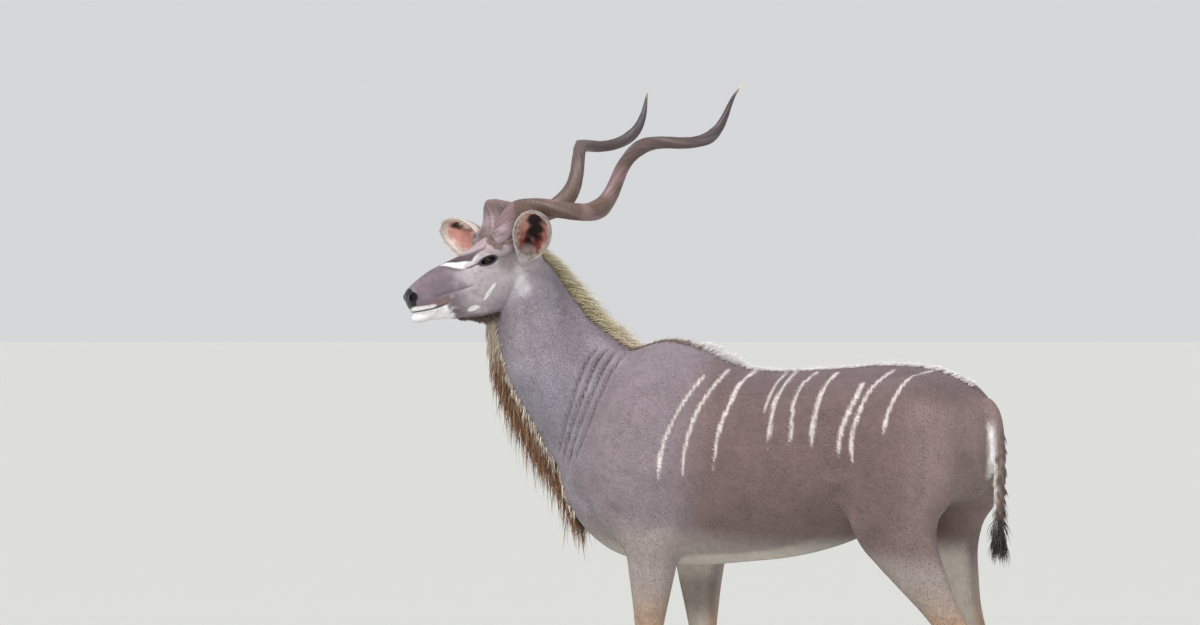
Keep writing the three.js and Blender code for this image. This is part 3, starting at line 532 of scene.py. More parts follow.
def nostrilHole(sign):
    inward = unit(headV * sign + headU * 0.55)
    long = headU * -0.75 + headW * 0.66
    long = unit(long - inward * (long @ inward))
    short = unit(np.cross(inward, long))
    return ellipsoid(sidePlace(nostrilPlace, sign), (long, short, inward), (14, 9, 16))


# Ears: a thin cup, rolled into a tube at the root and open to the tip
earThickness = 4.2
earStations = [  # along, radius, half the spread in degrees, set back
    ("root", -14, 25, 168, 0),
    ("tube", 22, 31, 150, 0),
    ("low cup", 56, 45, 120, 5),
    ("cup", 98, 57, 100, 8),
    ("widest", 136, 59, 88, 8),
    ("upper cup", 176, 52, 76, 4),
    ("below the tip", 205, 35, 62, 0),
    ("tip", 220, 15, 50, -4),
]
earPose = {  # root in the head frame, then its direction and opening as shares ahead, to the left and up
    "left": {"root": (-376, 84, -7), "out": (0.22, 0.83, 0.51), "open": (0.6, 0.4, -0.55)},
    "right": {"root": (-358, -88, -7), "out": (0.6, -0.7, 0.41), "open": (1, 0.1, -0.1)},
}


def earFrame(name):
    pose = earPose[name]
    along = unit(np.array(pose["out"]) @ np.stack([ahead, headV, upBody]))
    opening = unit(np.array(pose["open"]) @ np.stack([ahead, headV, upBody]))
    opening = unit(opening - along * (opening @ along))
    return inHead(*pose["root"]), along, opening, unit(np.cross(along, opening))


def earPart(name, ringCount=70, arcCount=44):
    root, along, opening, across = earFrame(name)
    share = 1 - (1 - np.linspace(0, 1, ringCount)) ** 1.5
    reach, radius, spread, back = blended(earStations, share).T
    middle = root + reach[:, None] * along + (radius * 0.25 - back)[:, None] * opening
    turnShare = np.linspace(-1, 1, arcCount)
    spread = spread * np.sqrt(np.clip((1.004 - share) / 0.1, 0, 1))  # rounded at the tip
    angle = np.radians(spread)[:, None] * turnShare
    rim = smooth((1 - np.abs(turnShare)) / 0.12) * 0.55 + 0.45  # thin towards the edge
    tip = smooth((1 - share) / 0.08) * 0.5 + 0.5
    thick = earThickness * rim * tip[:, None]
    outer = np.broadcast_to((radius - 0.8)[:, None], angle.shape)

    def arc(r):
        return (middle[:, None] - opening * (r * np.cos(angle))[..., None]
                + across * (r * np.sin(angle))[..., None])

    return loft(np.concatenate([arc(outer), arc(outer - thick)[:, ::-1]], 1), True)


# One skin. The body is remeshed coarsely and the head finely, and the two are sewn in mid neck.
skinGrid = {"body": 7.5, "head": 2.6, "sewAt": 0.58, "sewGap": 7.0}


def trimmed(obj, point, normal):  # keeps what lies on the normal's side of a plane
    edited(obj, lambda bm: bmesh.ops.bisect_plane(
        bm, geom=[*bm.verts, *bm.edges, *bm.faces], dist=1e-4, plane_co=point, plane_no=normal,
        clear_inner=True))


def rimOf(data, centre, side, up):  # the vertices of an open edge, in order round the neck
    uses = np.bincount(gathered(data.loops, "edge_index", 1, int).ravel(), minlength=len(data.edges))
    rim = np.unique(edgePairs(data)[uses == 1])
    away = coords(data)[rim] - centre
    return rim[np.argsort(np.arctan2(away @ up, away @ side))]


def sewn(bodyObj, headObj, centre, side, up):
    bodyRim = rimOf(bodyObj.data, centre, side, up)
    headRim = rimOf(headObj.data, centre, side, up)
    bodyCount = len(bodyObj.data.vertices)
    points = np.concatenate([coords(bodyObj.data), coords(headObj.data)])
    faces = [tuple(p.vertices) for p in bodyObj.data.polygons]
    faces += [tuple(k + bodyCount for k in p.vertices) for p in headObj.data.polygons]

    def angles(rim):
        away = points[rim] - centre
        return np.arctan2(away @ up, away @ side)

    headRim = headRim + bodyCount
    one, other = angles(bodyRim), angles(headRim)
    i = j = 0
    while i < len(bodyRim) or j < len(headRim):
        nextOne = one[i + 1] if i + 1 < len(bodyRim) else one[(i + 1) % len(bodyRim)] + 2 * np.pi
        nextOther = other[j + 1] if j + 1 < len(headRim) else other[(j + 1) % len(headRim)] + 2 * np.pi
        a, b = bodyRim[i % len(bodyRim)], headRim[j % len(headRim)]
        if j >= len(headRim) or (i < len(bodyRim) and nextOne <= nextOther):
            faces.append((a, bodyRim[(i + 1) % len(bodyRim)], b))
            i += 1
        else:
            faces.append((a, headRim[(j + 1) % len(headRim)], b))
            j += 1
    drop(bodyObj)
    drop(headObj)
    return outward(objectOf("skin", points, faces))


def bodySkin():
    parts = [trunkPart(), neckPart(), limbPart(tailStations, 60, 32, 1.5)]
    for name, sign in sides.items():
        parts += [limbPart(onSide(shoulderStations, sign)), limbPart(onSide(haunchStations, sign))]
        for kind in legStations:
            stations = legs[kind + name]
            parts.append(limbPart(stations, 110, 40, 2.0))
            x, y = stations[-1][1:3]
            for d in (-1, 1):  # dewclaws
                parts.append(ellipsoid((x + d * 17, y + 52, 100), np.eye(3), (8, 11, 16), 20))
    obj = remeshed("bodySkin", parts, skinGrid["body"])
    points = coords(obj.data)
    torso = smooth((points[:, 2] - 700) / 140) * (1 - smooth((points[:, 1] - 1020) / 30))
    rows, _, _, along = (a[0] for a in neckFrame([skinGrid["sewAt"]]))
    torso = torso * smooth((-60 - (points - rows[:3]) @ along) / 130)
    relaxed(obj.data, 14, 0.25 + 0.75 * torso)
    relaxed(obj.data, 90, torso, 0)
    return obj


def headSkin():
    parts = headParts() + [neckPart(0.4, 1.0)]
    obj = remeshed("headSkin", parts, skinGrid["head"])
    relaxed(obj.data, 18)
    for name in sides:
        combined(obj, earPart(name), "UNION")
    softenEarRoots(obj.data)
    for sign in sides.values():
        combined(obj, eyeOpening(sign), "DIFFERENCE")
        combined(obj, nostrilHole(sign), "DIFFERENCE")
    slot, core = mouthGroove()
    groove = combined(outward(objectOf("groove", *slot)), core, "DIFFERENCE")
    mod = obj.modifiers.new("mouth", "BOOLEAN")
    mod.operation, mod.solver, mod.object = "DIFFERENCE", "MANIFOLD", groove
    applied(obj)
    drop(groove)
    return obj


def softenEarRoots(data):  # the skin flows from the head into each ear
    points = coords(data)
    weight = np.zeros(len(points))
    for name in sides:
        root, along, _, _ = earFrame(name)
        away = points - root
        weight = np.maximum(weight, smooth(1.6 - np.linalg.norm(away - along * 14, axis=1) / 34))
    relaxed(data, 10, weight, -0.2)


def makeSkin():
    at = neckFrame([skinGrid["sewAt"]])
    rows, across, nape, along = (a[0] for a in at)
    centre = rows[:3]
    body, head = bodySkin(), headSkin()
    trimmed(body, Vector(centre - along * skinGrid["sewGap"] / 2), Vector(-along))
    trimmed(head, Vector(centre + along * skinGrid["sewGap"] / 2), Vector(along))
    skin = sewn(body, head, centre, across, nape)
    points = coords(skin.data)
    near = smooth(1.4 - np.abs((points - centre) @ along) / 40) * (points[:, 2] > 1250)
    relaxed(skin.data, 40, near, 0)
    return skin


skin = makeSkin()
print("skin", len(skin.data.vertices), "points", len(skin.data.polygons), "faces")


# The photograph's camera, and places on the skin that are read off it in pixels of the 1200 x 625 frame
view = {"azimuth": 120, "lens": 300, "sensor": 36, "distance": 29.4, "aim": (178.7, -150.9, 1480),
        "pixels": (1200, 625)}
shift = np.array((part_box("eye_left")[0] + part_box("eye_left")[1]) / 2) * 1000 - eyeCentre(1)
viewBack = np.array([np.sin(np.radians(view["azimuth"])), -np.cos(np.radians(view["azimuth"])), 0])
viewRight = np.array([-viewBack[1], viewBack[0], 0])
aimPlace = (np.array(view["aim"]) + shift) / 1000
cameraPlace = aimPlace + viewBack * view["distance"]


class SkinFinder:  # finds places on the skin by pixel or by nearness
    def __init__(self, data):
        self.points = coords(data)
        self.normals = vertexNormals(data)
        self.tree = BVHTree.FromPolygons(self.points.tolist(), [tuple(p.vertices) for p in data.polygons])

    def seen(self, x, y):
        perPixel = view["sensor"] / view["lens"] * view["distance"] / view["pixels"][0]
        target = (aimPlace + viewRight * (x - view["pixels"][0] / 2) * perPixel
                  + upBody * (view["pixels"][1] / 2 - y) * perPixel)
        start = cameraPlace * 1000 - shift
        aim = unit(target - cameraPlace)
        hit = self.tree.ray_cast(Vector(start), Vector(aim))[0]
        if hit is None:  # just off the outline: the nearest skin to the line of sight
            reach = view["distance"] * 1000 + np.linspace(-900, 900, 60)
            near = [self.tree.find_nearest(Vector(start + aim * r)) for r in reach]
            hit = min(near, key=lambda n: n[3])[0]
        return np.array(hit)

    def path(self, pixels, steps=6):  # a smooth run over the skin through pixels
        places = np.array(pixels, float)
        share = np.linspace(0, 1, (len(places) - 1) * steps + 1)
        rows = blended([("", *p) for p in places], share)
        return np.array([self.seen(*p) for p in rows])


def mirrored(path, head=True):  # to the other side of the head or of the body
    path = np.array(path)
    if not head:
        return path * (-1, 1, 1)
    u, v, w = headPlaces(path).T
    return noseTip + np.stack([u, -v, w], 1) @ headAxes


# Sculpted forms: hollows and creases pressed into the skin along paths, widths and depths in mm
creases = {  # pixel paths: width, depth
    "smile": ([(436, 297), (444, 294), (458, 290), (474, 285)], 5.5, 2.2),
    "cheekEdge": ([(476, 300), (480, 288), (486, 276)], 9, 1.6),
    "tearGroove": ([(480, 263), (472, 267), (463, 271)], 4, 2.4),
    "upperLid": ([(479, 257), (486, 254.5), (494, 256), (499, 261)], 2.8, 1.8),
    "lowerLid": ([(482, 267), (488, 269), (495, 268)], 3.2, 1.2),
    "nostrilFold": ([(417, 291), (421, 297), (419, 303)], 4, 1.4),
}
neckFolds = {  # from the crest down the near side of the neck: the side that the turned head shortens
    "first": ([(600, 345), (589, 358), (579, 379), (571, 404), (563, 432), (558, 455)], 6, 8.5),
    "second": ([(609, 347), (597, 362), (587, 384), (576, 412), (567, 440), (562, 462)], 5.5, 11.5),
    "third": ([(617, 350), (605, 366), (594, 388), (583, 415), (573, 443), (567, 468)], 5.5, 11),
    "fourth": ([(625, 353), (612, 370), (602, 390), (592, 412), (582, 438), (574, 462)], 7, 8),
}
hollows = {  # on both sides of the body: (y, z) paths, width, depth
    "behindShoulder": ([(70, 1290), (80, 1180), (86, 1040), (84, 900), (60, 820)], 34, 9),
    "shoulderFront": ([(-165, 1270), (-215, 1150), (-220, 1040), (-190, 930)], 26, 5),
    "bladeRidge": ([(-10, 1290), (-40, 1180), (-90, 1060)], 20, 4),
    "aboveElbow": ([(-120, 900), (-50, 880), (30, 900)], 22, 5),
    "flankHollow": ([(600, 1230), (640, 1150), (660, 1060), (650, 980)], 42, 12),
    "hipFront": ([(690, 1290), (700, 1230), (730, 1170)], 26, 5),
    "thighSplit": ([(950, 1200), (962, 1080), (955, 960), (940, 870)], 20, 6),
    "stifleFold": ([(650, 950), (690, 890), (730, 850)], 26, 7),
    "lastRib": ([(300, 1230), (380, 1130), (440, 1010), (455, 900)], 26, 3),
}


def pressed(points, normals, path, width, depth):
    distance, share = distanceToPath(points, path)
    ends = np.clip(np.minimum(share, 1 - share) / 0.16, 0, 1) ** 0.7
    return points - normals * (depth * ends * np.exp(-((distance / width) ** 2)))[:, None]


def sculpt(data):
    finder = SkinFinder(data)
    points, normals = coords(data), vertexNormals(data)
    for pixels, width, depth in creases.values():
        path = finder.path(pixels)
        for side in (path, mirrored(path)):
            points = pressed(points, normals, side, width, depth)
    for pixels, width, depth in neckFolds.values():
        points = pressed(points, normals, finder.path(pixels, 10), width, depth)
    for places, width, depth in hollows.values():
        for sign in sides.values():
            path = np.array([[sign * 260, y, z] for y, z in places], float)
            path = np.array([finder.tree.find_nearest(Vector(p))[0] for p in path])
            points = pressed(points, normals, path, width, depth)
    points = ribbed(humped(points), normals)
    setCoords(data, points)


hump = {"high": 10, "at": -50, "long": 85}
ribs = {"deep": 0.8, "apart": 52, "slant": 0.32}


def humped(points):  # the withers rise to a round hump
    x, y, z = points.T
    rise = hump["high"] * np.exp(-(((y - hump["at"]) / hump["long"]) ** 2)) * smooth((z - 1270) / 90)
    return points + upBody * (rise * (1 - smooth((np.abs(x) - 20) / 80)))[:, None]


def ribbed(points, normals):  # faint ribs over the barrel
    x, y, z = points.T
    slant = y + ribs["slant"] * (1250 - z)
    here = smooth((y - 120) / 80) * smooth((620 - y) / 120)
    here = here * smooth((1240 - z) / 80) * smooth((z - 840) / 90)
    wave = 0.5 + 0.5 * np.cos(2 * np.pi * slant / ribs["apart"])
    return points - normals * (ribs["deep"] * here * wave)[:, None]


sculpt(skin.data)
finder = SkinFinder(skin.data)
print("skin shaped")


# Colours, as sRGB hex
def tone(code):
    c = np.array([int(code[k:k + 2], 16) for k in (0, 2, 4)]) / 255
    return np.where(c <= 0.04045, c / 12.92, ((c + 0.055) / 1.055) ** 2.4)


tones = {name: tone(code) for name, code in {
    "neck": "8a838e", "shoulder": "83767b", "flank": "6d5a58", "loin": "6c5a5c", "hump": "887b83",
    "rump": "877471", "belly": "a29690", "inner": "c9c0b6", "shank": "a58a72", "garter": "3c302c",
    "pastern": "d6cec2", "muzzle": "7c6d75", "bridge": "73646a", "cheek": "b6adb1", "forehead": "b39ca1",
    "browPatch": "513d40", "white": "f0eeed", "nose": "0c0b10", "lipLine": "2a2022", "ochre": "a8744c",
    "eyeRing": "aca1a5", "darkDotsAndShade": "4c4142", "throat": "a39ba4", "earBack": "8f8380", "earPink": "e0a397",
    "earRose": "9c4a48", "earCupShadow": "1e070a", "earRim": "dccdc4", "tailDark": "1f1916", "stripe": "d9cfca",
    "rustyBridge": "7c5648", "sock": "6b5848", "dewclaw": "201c1a", "earPatch": "cfc9cc",
    "foldShade": "635961", "temple": "8f8184",
}.items()}


def mix(colour, other, share):
    share = np.reshape(np.clip(share, 0, 1), (-1, 1))
    return colour * (1 - share) + np.asarray(other) * share


def evenly(colour, count):  # one colour, by its code or its name, for every point
    return np.repeat((tones[colour] if colour in tones else tone(colour))[None], count, 0)


def layered(colour, *layers):  # colours laid over one another: name and share
    for name, share in layers:
        colour = mix(colour, tones[name], share)
    return colour


stripePaths = {  # down the near flank, in pixels: path, half width in mm
    "one": ([(707, 373), (694, 388), (680, 408), (669, 430), (661, 453), (658, 482)], 3.6),
    "two": ([(731, 368), (714, 386), (699, 408), (690, 430), (684, 455), (682, 482)], 4.2),
    "three": ([(757, 370), (740, 384), (731, 402), (721, 424), (716, 446), (713, 470)], 4.4),
    "four": ([(789, 370), (777, 384), (768, 400), (764, 412)], 2.6),
    "five": ([(797, 371), (785, 385), (775, 402), (771, 424), (767, 450)], 4.2),
    "six": ([(819, 371), (803, 384), (794, 401), (792, 422), (788, 452)], 3.6),
    "seven": ([(839, 371), (826, 385), (819, 400), (813, 425), (811, 448)], 4.2),
    "eight": ([(864, 381), (857, 396), (848, 414), (841, 432), (838, 458)], 5.4),
}
rumpStripes = {  # hidden in the photograph: (y, z) down the haunch, half width
    "nine": ([(770, 1318), (735, 1262), (712, 1190), (700, 1110), (704, 1030)], 4.4),
    "ten": ([(868, 1312), (838, 1255), (818, 1180), (812, 1110)], 4.2),
}


def bothFlanks():
    runs = []
    for pixels, half in stripePaths.values():
        path = finder.path(pixels, 8)
        waver = 6 * speckle(path, 60, 3) * np.sin(np.linspace(0, 9, len(path)))
        runs.append((path, half))
        runs.append((mirrored(path + np.stack([0 * waver, waver, 0 * waver], 1), head=False), half * 0.95))
    for places, half in rumpStripes.values():
        for sign in sides.values():
            share = np.linspace(0, 1, 30)
            rows = blended([("", *p) for p in places], share)
            side = Vector((-sign, 0, 0))
            runs.append((np.array([finder.tree.ray_cast(Vector((sign * 600, y + 4 * sign, z)), side)[0]
                                   for y, z in rows]), half))
    return runs


stripes = bothFlanks()
# the neck folds' paths, along which shadow is painted into the coat's colour
foldPaths = [finder.path(pixels, 10) for pixels, _, _ in neckFolds.values()]
faceMarks = {  # pixel paths on the near side of the face: colour, half width, softness
    # painted shade in the tear groove before the eye
    "tearGrooveShade": ([(467, 268.5), (474, 265.5), (481, 262.5)], "darkDotsAndShade", 2.4, 3),
    "cheekBar": ([(495, 284), (490, 291), (485, 299)], "white", 5.6, 2.4),
    "cheekSpot": ([(469, 310), (474, 308), (478, 307)], "white", 8.5, 3.2),
    # painted shade in the creases from the mouth up the cheek and above the lip
    "smileCreaseShade": ([(436, 297), (444, 294), (458, 290), (474, 285)], "bridge", 2.2, 3.5),
    "lipCreaseShade": ([(429, 303), (439, 301.5), (447, 298)], "bridge", 1.6, 3),
}
facePaths = {name: finder.path(mark[0]) for name, mark in faceMarks.items()}
softPatches = {  # pixel paths, colour, strength, how far it fades
    "underEar": ([(518, 267), (521, 278), (524, 289)], "earPatch", 0.7, 34),
    "temple": ([(504, 263), (508, 257), (511, 266)], "temple", 0.85, 26),
}
patchPaths = {name: finder.path(patch[0]) for name, patch in softPatches.items()}


def earPlaces(points, name):  # share along the ear, share across it, and whether it is the inner side
    root, along, opening, across = earFrame(name)
    rel = points - root
    reach = rel @ along
    share = shareAt(earStations, 0, reach)
    _, radius, spread, back = blended(earStations, share).T
    inPlane = rel @ opening - (radius * 0.25 - back)
    sideways = rel @ across
    radial = np.hypot(inPlane, sideways)
    angle = np.degrees(np.arctan2(sideways, -inPlane))
    wall = (np.abs(radial - radius) < 11) & (np.abs(angle) < spread + 14)
    bottom = (reach > 2) & (reach < 130) & (radial < radius) & (inPlane < 0.25 * radius)
    onEar = (reach > -6) & (reach < 230) & (wall | bottom)
    return share, angle / spread, radial < radius - 0.8 - 0.45 * earThickness, onEar


def headShareOf(points):
    rows, _, _, along = (a[0] for a in neckFrame([0.86]))
    return smooth(((points - rows[:3]) @ along + 45) / 90)


mottle = {"cloud": 0.09, "fine": 0.13, "patches": 0.07, "dots": 0.3}  # how strongly the hide's tone varies


def coatColour(points):
    x, y, z = points.T
    cloud = speckle(points, 70, 1)
    fine = speckle(points, 9, 2)
    belly = smooth((860 - z - 0.09 * (y - 300)) / 90) * (z > 600) * smooth((y + 320) / 90)
    colour = layered(
        evenly("shoulder", len(points)),
        ("neck", smooth((-150 - y) / 160) * (0.35 + 0.65 * smooth((z - 1000) / 220))),
        ("flank", smooth((y - 60) / 200)),
        ("hump", 0.6 * smooth((z - 1250) / 120) * smooth((190 - y) / 120)),
        ("loin", 0.85 * smooth((z - 1190) / 120) * smooth((y - 130) / 160)),
        ("rump", 0.7 * smooth((y - 820) / 150) * smooth((1260 - z) / 80)),
        ("belly", 0.75 * belly),
        ("throat", 0.5 * smooth((cloud + 0.2) / 1.2) * smooth((-100 - y) / 120)),
    )
    for marking in (legColour, striped, paintedFoldShadow, tailColour, faceColour, earColour):
        colour = marking(points, colour)
    for name, (_, colourName, strength, fade) in softPatches.items():
        for path in (patchPaths[name], mirrored(patchPaths[name])):
            distance, _ = distanceToPath(points, path)
            colour = mix(colour, tones[colourName], strength * (1 - smooth((distance - 4) / fade)))
    dots = smooth((speckle(points, 7, 61) - 0.5) / 0.2) * smooth((cloud + 0.5) / 0.6)
    colour = mix(colour, tones["darkDotsAndShade"], mottle["dots"] * dots * smooth((900 - y) / 500) * (z > 700))
    grain = 1 + mottle["cloud"] * cloud + mottle["fine"] * fine + mottle["patches"] * speckle(points, 26, 63)
    return np.clip(colour * grain[:, None], 0, 1)


def legColour(points, colour):
    x, y, z = points.T
    inward = 118 - np.abs(x) + 0.03 * np.maximum(z - 500, 0)  # past the middle of the leg
    garter = smooth((z - 540) / 90) * smooth((750 - z) / 80) * (y <= 400) * smooth((inward + 12) / 30)
    front = np.zeros(len(points))
    for stations in legs.values():
        centreX, centreY = stations[-1][1:3]
        near = (np.abs(x - centreX) < 60) & (np.abs(y - centreY) < 110) & (z < 200)
        front[near] = (centreY - y)[near]
    return layered(
        colour,
        ("shank", smooth((700 - z) / 160)),
        ("inner", smooth((inward - 4) / 26) * smooth((840 - z) / 90) * smooth((z - 130) / 90)),
        ("garter", 0.6 * garter),
        ("sock", 0.75 * smooth((150 - z) / 40)),
        ("pastern", smooth((front + 26) / 20) * smooth((100 - z) / 26)),
        ("dewclaw", smooth((21 - np.abs(z - 99)) / 7) * smooth((-front - 34) / 10)),
    )


def nearPath(points, path, margin=30):  # which points are near a path, how far off and how far along
    low, high = path.min(0) - margin, path.max(0) + margin
    near = np.flatnonzero(np.all((points > low) & (points < high), axis=1))
    return near, *distanceToPath(points[near], path)


def striped(points, colour):
    share = np.zeros(len(points))
    wobble = speckle(points, 30, 5)
    for path, half in stripes:
        near, distance, along = nearPath(points, path)
        ends = smooth(np.minimum(along / 0.06, (1 - along) / 0.2 + 0.15))
        width = half * (1.15 + 0.2 * wobble[near]) * ends
        share[near] = np.maximum(share[near], 1 - smooth((distance - width + 1.2) / 2.4))
    return mix(colour, tones["stripe"], share * 0.93)


def paintedFoldShadow(points, colour):  # painted shadow down in the folds of the neck, darkest in each crease
    share = np.zeros(len(points))
    for path in foldPaths:
        near, distance, along = nearPath(points, path)
        depth = np.exp(-((distance / 5.5) ** 2)) * smooth(np.minimum(along, 1 - along) / 0.15)
        share[near] = np.maximum(share[near], depth)
    return mix(colour, tones["foldShade"], 0.6 * share)


def tailColour(points, colour):
    x, y, z = points.T
    behind = np.flatnonzero((y > 900) & (np.abs(x) < 160) & (z < 1215) & (z > 500))
    distance = np.full(len(points), 999.0)
    distance[behind], _ = distanceToPath(points[behind], np.array([row[1:4] for row in tailStations], float))
    onTail = (y > 1010) & (distance < 34)
    under = smooth((1085 - y + 0.02 * (1200 - z)) / 22) * smooth((1180 - z) / 60) * smooth((z - 900) / 60)
    reach = 1 - smooth((distance - 26 - 5 * speckle(points, 14, 17)) / 22)
    return layered(colour, ("white", 0.85 * under * reach), ("tailDark", smooth((900 - z) / 50) * onTail))


def lidRimShade(off, sign):  # dark edge of the lids, drawn out at both corners of the eye
    _, long, up = eyeFrame(sign)
    across, rise = off @ long, off @ up
    tall = np.where(rise > 0, eyes["up"], eyes["down"]) + 4
    return 1 - smooth((np.hypot(across / (eyes["halfLong"] + 10), rise / tall) - 0.88) / 0.2)


def faceColour(points, colour):
    u, v, w = headPlaces(points).T
    onHead = headShareOf(points)
    wide = np.abs(v)
    smear = speckle(points * (1, 1, 1.6), 26, 44)
    face = layered(
        evenly("cheek", len(points)),
        ("muzzle", smooth((u + 190) / 70)),
        ("muzzle", 0.25 * smooth((-w - 60) / 50) * smooth((u + 330) / 80)),
        ("forehead", smooth((w - 18) / 34) * smooth((-215 - u) / 50)),
        ("bridge", 0.9 * smooth((w - 22) / 26) * smooth((u + 215) / 30)),
        ("cheek", smooth((-330 - u) / 60) * 0.6),
        ("bridge", 0.5 * smooth((smear - 0.1) / 0.6) * smooth((u + 250) / 90)),
        ("earPatch", 0.35 * smooth((-smear - 0.2) / 0.6) * smooth((-w - 10) / 40)),
        # painted shadow under the jaw, near its middle
        ("darkDotsAndShade", 0.75 * smooth((-w - 112) / 18) * smooth((-u - 118) / 20) * smooth((34 - wide) / 12)),
        ("rustyBridge", 0.5 * np.exp(-(((u + 196) / 12) ** 2)) * smooth((w - 36) / 12) * (wide < 24)),
    )
    for sign in sides.values():
        off = points - eyeCentre(sign)
        away = np.linalg.norm(off, axis=1)
        face = layered(face, ("eyeRing", 0.8 * np.exp(-(((away - 30) / 9) ** 2))),
                       ("nose", 0.9 * lidRimShade(off, sign) * (away < 45)))
    face = browColour(face, u, wide, w)
    for name, (_, colourName, half, soft) in faceMarks.items():
        for path in (facePaths[name], mirrored(facePaths[name])):
            distance, along = distanceToPath(points, path)
            taper = 0.55 + 0.45 * smooth(np.minimum(along, 1 - along) / 0.2)
            edge = smooth((distance - half * taper + soft / 2) / soft)
            face = mix(face, tones[colourName], 0.95 * (1 - edge))
    below = mouthLevel(u) - w
    ragged = 9 * speckle(points, 9, 31)
    upperLip = smooth((1 - below) / 2) * smooth((below + 14 + 0.06 * (u + 60)) / 4)
    ochre = smooth((below + 24) / 12) * smooth(-below / 3) * smooth((u + 128) / 34) * smooth((-20 - u) / 24)
    face = layered(
        face,
        ("white", smooth((below + 1) / 3) * smooth((u + 116 + 0.25 * below + ragged) / 22)),
        ("ochre", 0.25 * ochre),
        ("white", upperLip * smooth((u + 76) / 16)),
        ("lipLine", np.exp(-((below / 2.4) ** 2)) * smooth((u + 108) / 8)),
        ("nose", smooth((u + 19 + 0.10 * w) / 4) * smooth((0.35 * (26 - wide) - below - 15) / 4)),
    )
    for sign in sides.values():
        away = np.linalg.norm(points - sidePlace(nostrilPlace, sign), axis=1)
        face = mix(face, tones["nose"], 1 - smooth((away - 14) / 5))
    return mix(colour, face, onHead)


def browColour(face, u, wide, w):  # the white chevron before the eyes, dark behind it, a dark line before it
    top = smooth((w - 10) / 10)
    off = (u + 137 + 0.9 * wide + 0.0125 * wide**2) / np.hypot(1, 0.9 + 0.025 * wide)
    half = 6.6 * (1 - 0.4 * smooth((wide - 34) / 22)) + 0.8 * speckle(np.stack([u, wide, w], 1), 11, 21)
    behind = smooth((-off - half + 2) / 4) * (1 - smooth((-off - 30 + 0.2 * wide) / 22))
    before = np.exp(-(((off - half - 3) / 3.6) ** 2))
    chevron = 1 - smooth((np.abs(off) - half + 1.0) / 2.2)
    ends = smooth((wide - 1.5) / 5) * (1 - smooth((wide - 55) / 5)) * (1 - 0.75 * smooth((wide - 37) / 9))
    return layered(
        face,
        ("browPatch", 0.92 * behind * top * (1 - smooth((wide - 42) / 14))),
        ("bridge", 0.85 * before * top * (1 - smooth((wide - 54) / 10))),
        ("white", 0.95 * chevron * top * ends),
    )


def earColour(points, colour):
    for name in sides:
        share, across, inner, onEar = earPlaces(points, name)
        edge = smooth((np.abs(across) - 0.66 + 0.1 * speckle(points, 12, 9)) / 0.26)
        backOfEar = layered(evenly("earBack", len(points)), ("earRim", 0.8 * edge))
        cloud = speckle(points, 20, 8)
        # painted shade deep in the ear's cup: across the near ear's hollow, only in the upper part of the far
        # ear
        reach, centre = (0.36, -0.14) if name == "left" else (0.3, 0.12)
        core = smooth((reach - np.abs(across - centre) + 0.24 * cloud) / 0.22) * smooth((0.9 - share) / 0.12)
        core = core if name == "left" else core * smooth((share - 0.5) / 0.3)
        hairy = smooth((np.abs(across) - 0.5 + 0.2 * speckle(points, 8, 9)) / 0.24)
        hairy = np.maximum(hairy, smooth((share - 0.8 + 0.06 * cloud) / 0.1))
        lining = layered(
            evenly("earPink", len(points)),
            ("earRose", smooth((0.45 - share) / 0.25 + 0.8 * cloud)),
            ("earCupShadow", core),
            ("earRim", np.maximum(hairy, 0.75 * smooth((0.2 - share) / 0.1))),
        )
        ear = np.where(inner[:, None], lining, backOfEar)
        colour = mix(colour, ear, onEar * np.where(inner, share > 0.02, smooth((share - 0.1) / 0.14)))
    return colour


# Finishes
def material(name, roughness, specular=0.5, sheen=0.0, coat=0.0):
    made = bpy.data.materials.new(name)
    made.use_nodes = True
    shader = made.node_tree.nodes["Principled BSDF"]
    shader.inputs["Roughness"].default_value = roughness
    shader.inputs["Specular IOR Level"].default_value = specular
    shader.inputs["Sheen Weight"].default_value = sheen
    shader.inputs["Coat Weight"].default_value = coat
    shader.inputs["Coat Roughness"].default_value = 0.04
    return made, made.node_tree, shader


def node(tree, kind, inputs=(), **settings):
    made = tree.nodes.new(kind)
    for key, value in settings.items():
        setattr(made, key, value)
    for key, value in dict(inputs).items():
        made.inputs[key].default_value = value
    return made


def paintedColour(tree, shader, grain, amount):  # the mesh's own colours, broken up by a fine grain
    paint = node(tree, "ShaderNodeAttribute", attribute_name="fur")
    noise = node(tree, "ShaderNodeTexNoise", {"Scale": grain, "Detail": 3.0, "Roughness": 0.65})
    spread = node(tree, "ShaderNodeMapRange", {"To Min": 1 - amount, "To Max": 1 + amount})
    scale = node(tree, "ShaderNodeVectorMath", operation="SCALE")
    tree.links.new(noise.outputs["Fac"], spread.inputs["Value"])
    tree.links.new(paint.outputs["Color"], scale.inputs[0])
    tree.links.new(spread.outputs["Result"], scale.inputs["Scale"])
    tree.links.new(scale.outputs["Vector"], shader.inputs["Base Color"])


def bumped(tree, shader, height, strength, distance):
    bump = node(tree, "ShaderNodeBump", {"Strength": strength, "Distance": distance})
    tree.links.new(height, bump.inputs["Height"])
    tree.links.new(bump.outputs["Normal"], shader.inputs["Normal"])


def skinFinish():
    made, tree, shader = material("skinFinish", 0.75, 0.3, 0.15)
    paintedColour(tree, shader, 420.0, 0.16)
    wet = node(tree, "ShaderNodeAttribute", attribute_name="bare")
    rough = node(tree, "ShaderNodeMapRange", {"To Min": 0.78, "To Max": 0.42})
    tree.links.new(wet.outputs["Fac"], rough.inputs["Value"])
    tree.links.new(rough.outputs["Result"], shader.inputs["Roughness"])
    grain = node(tree, "ShaderNodeTexNoise", {"Scale": 300.0, "Detail": 4.0, "Roughness": 0.7})
    bumped(tree, shader, grain.outputs["Fac"], 0.5, 0.0012)
    return made


def furFinish():
    made, tree, shader = material("furFinish", 0.62, 0.32, 0.2)
    paintedColour(tree, shader, 650.0, 0.14)
    return made


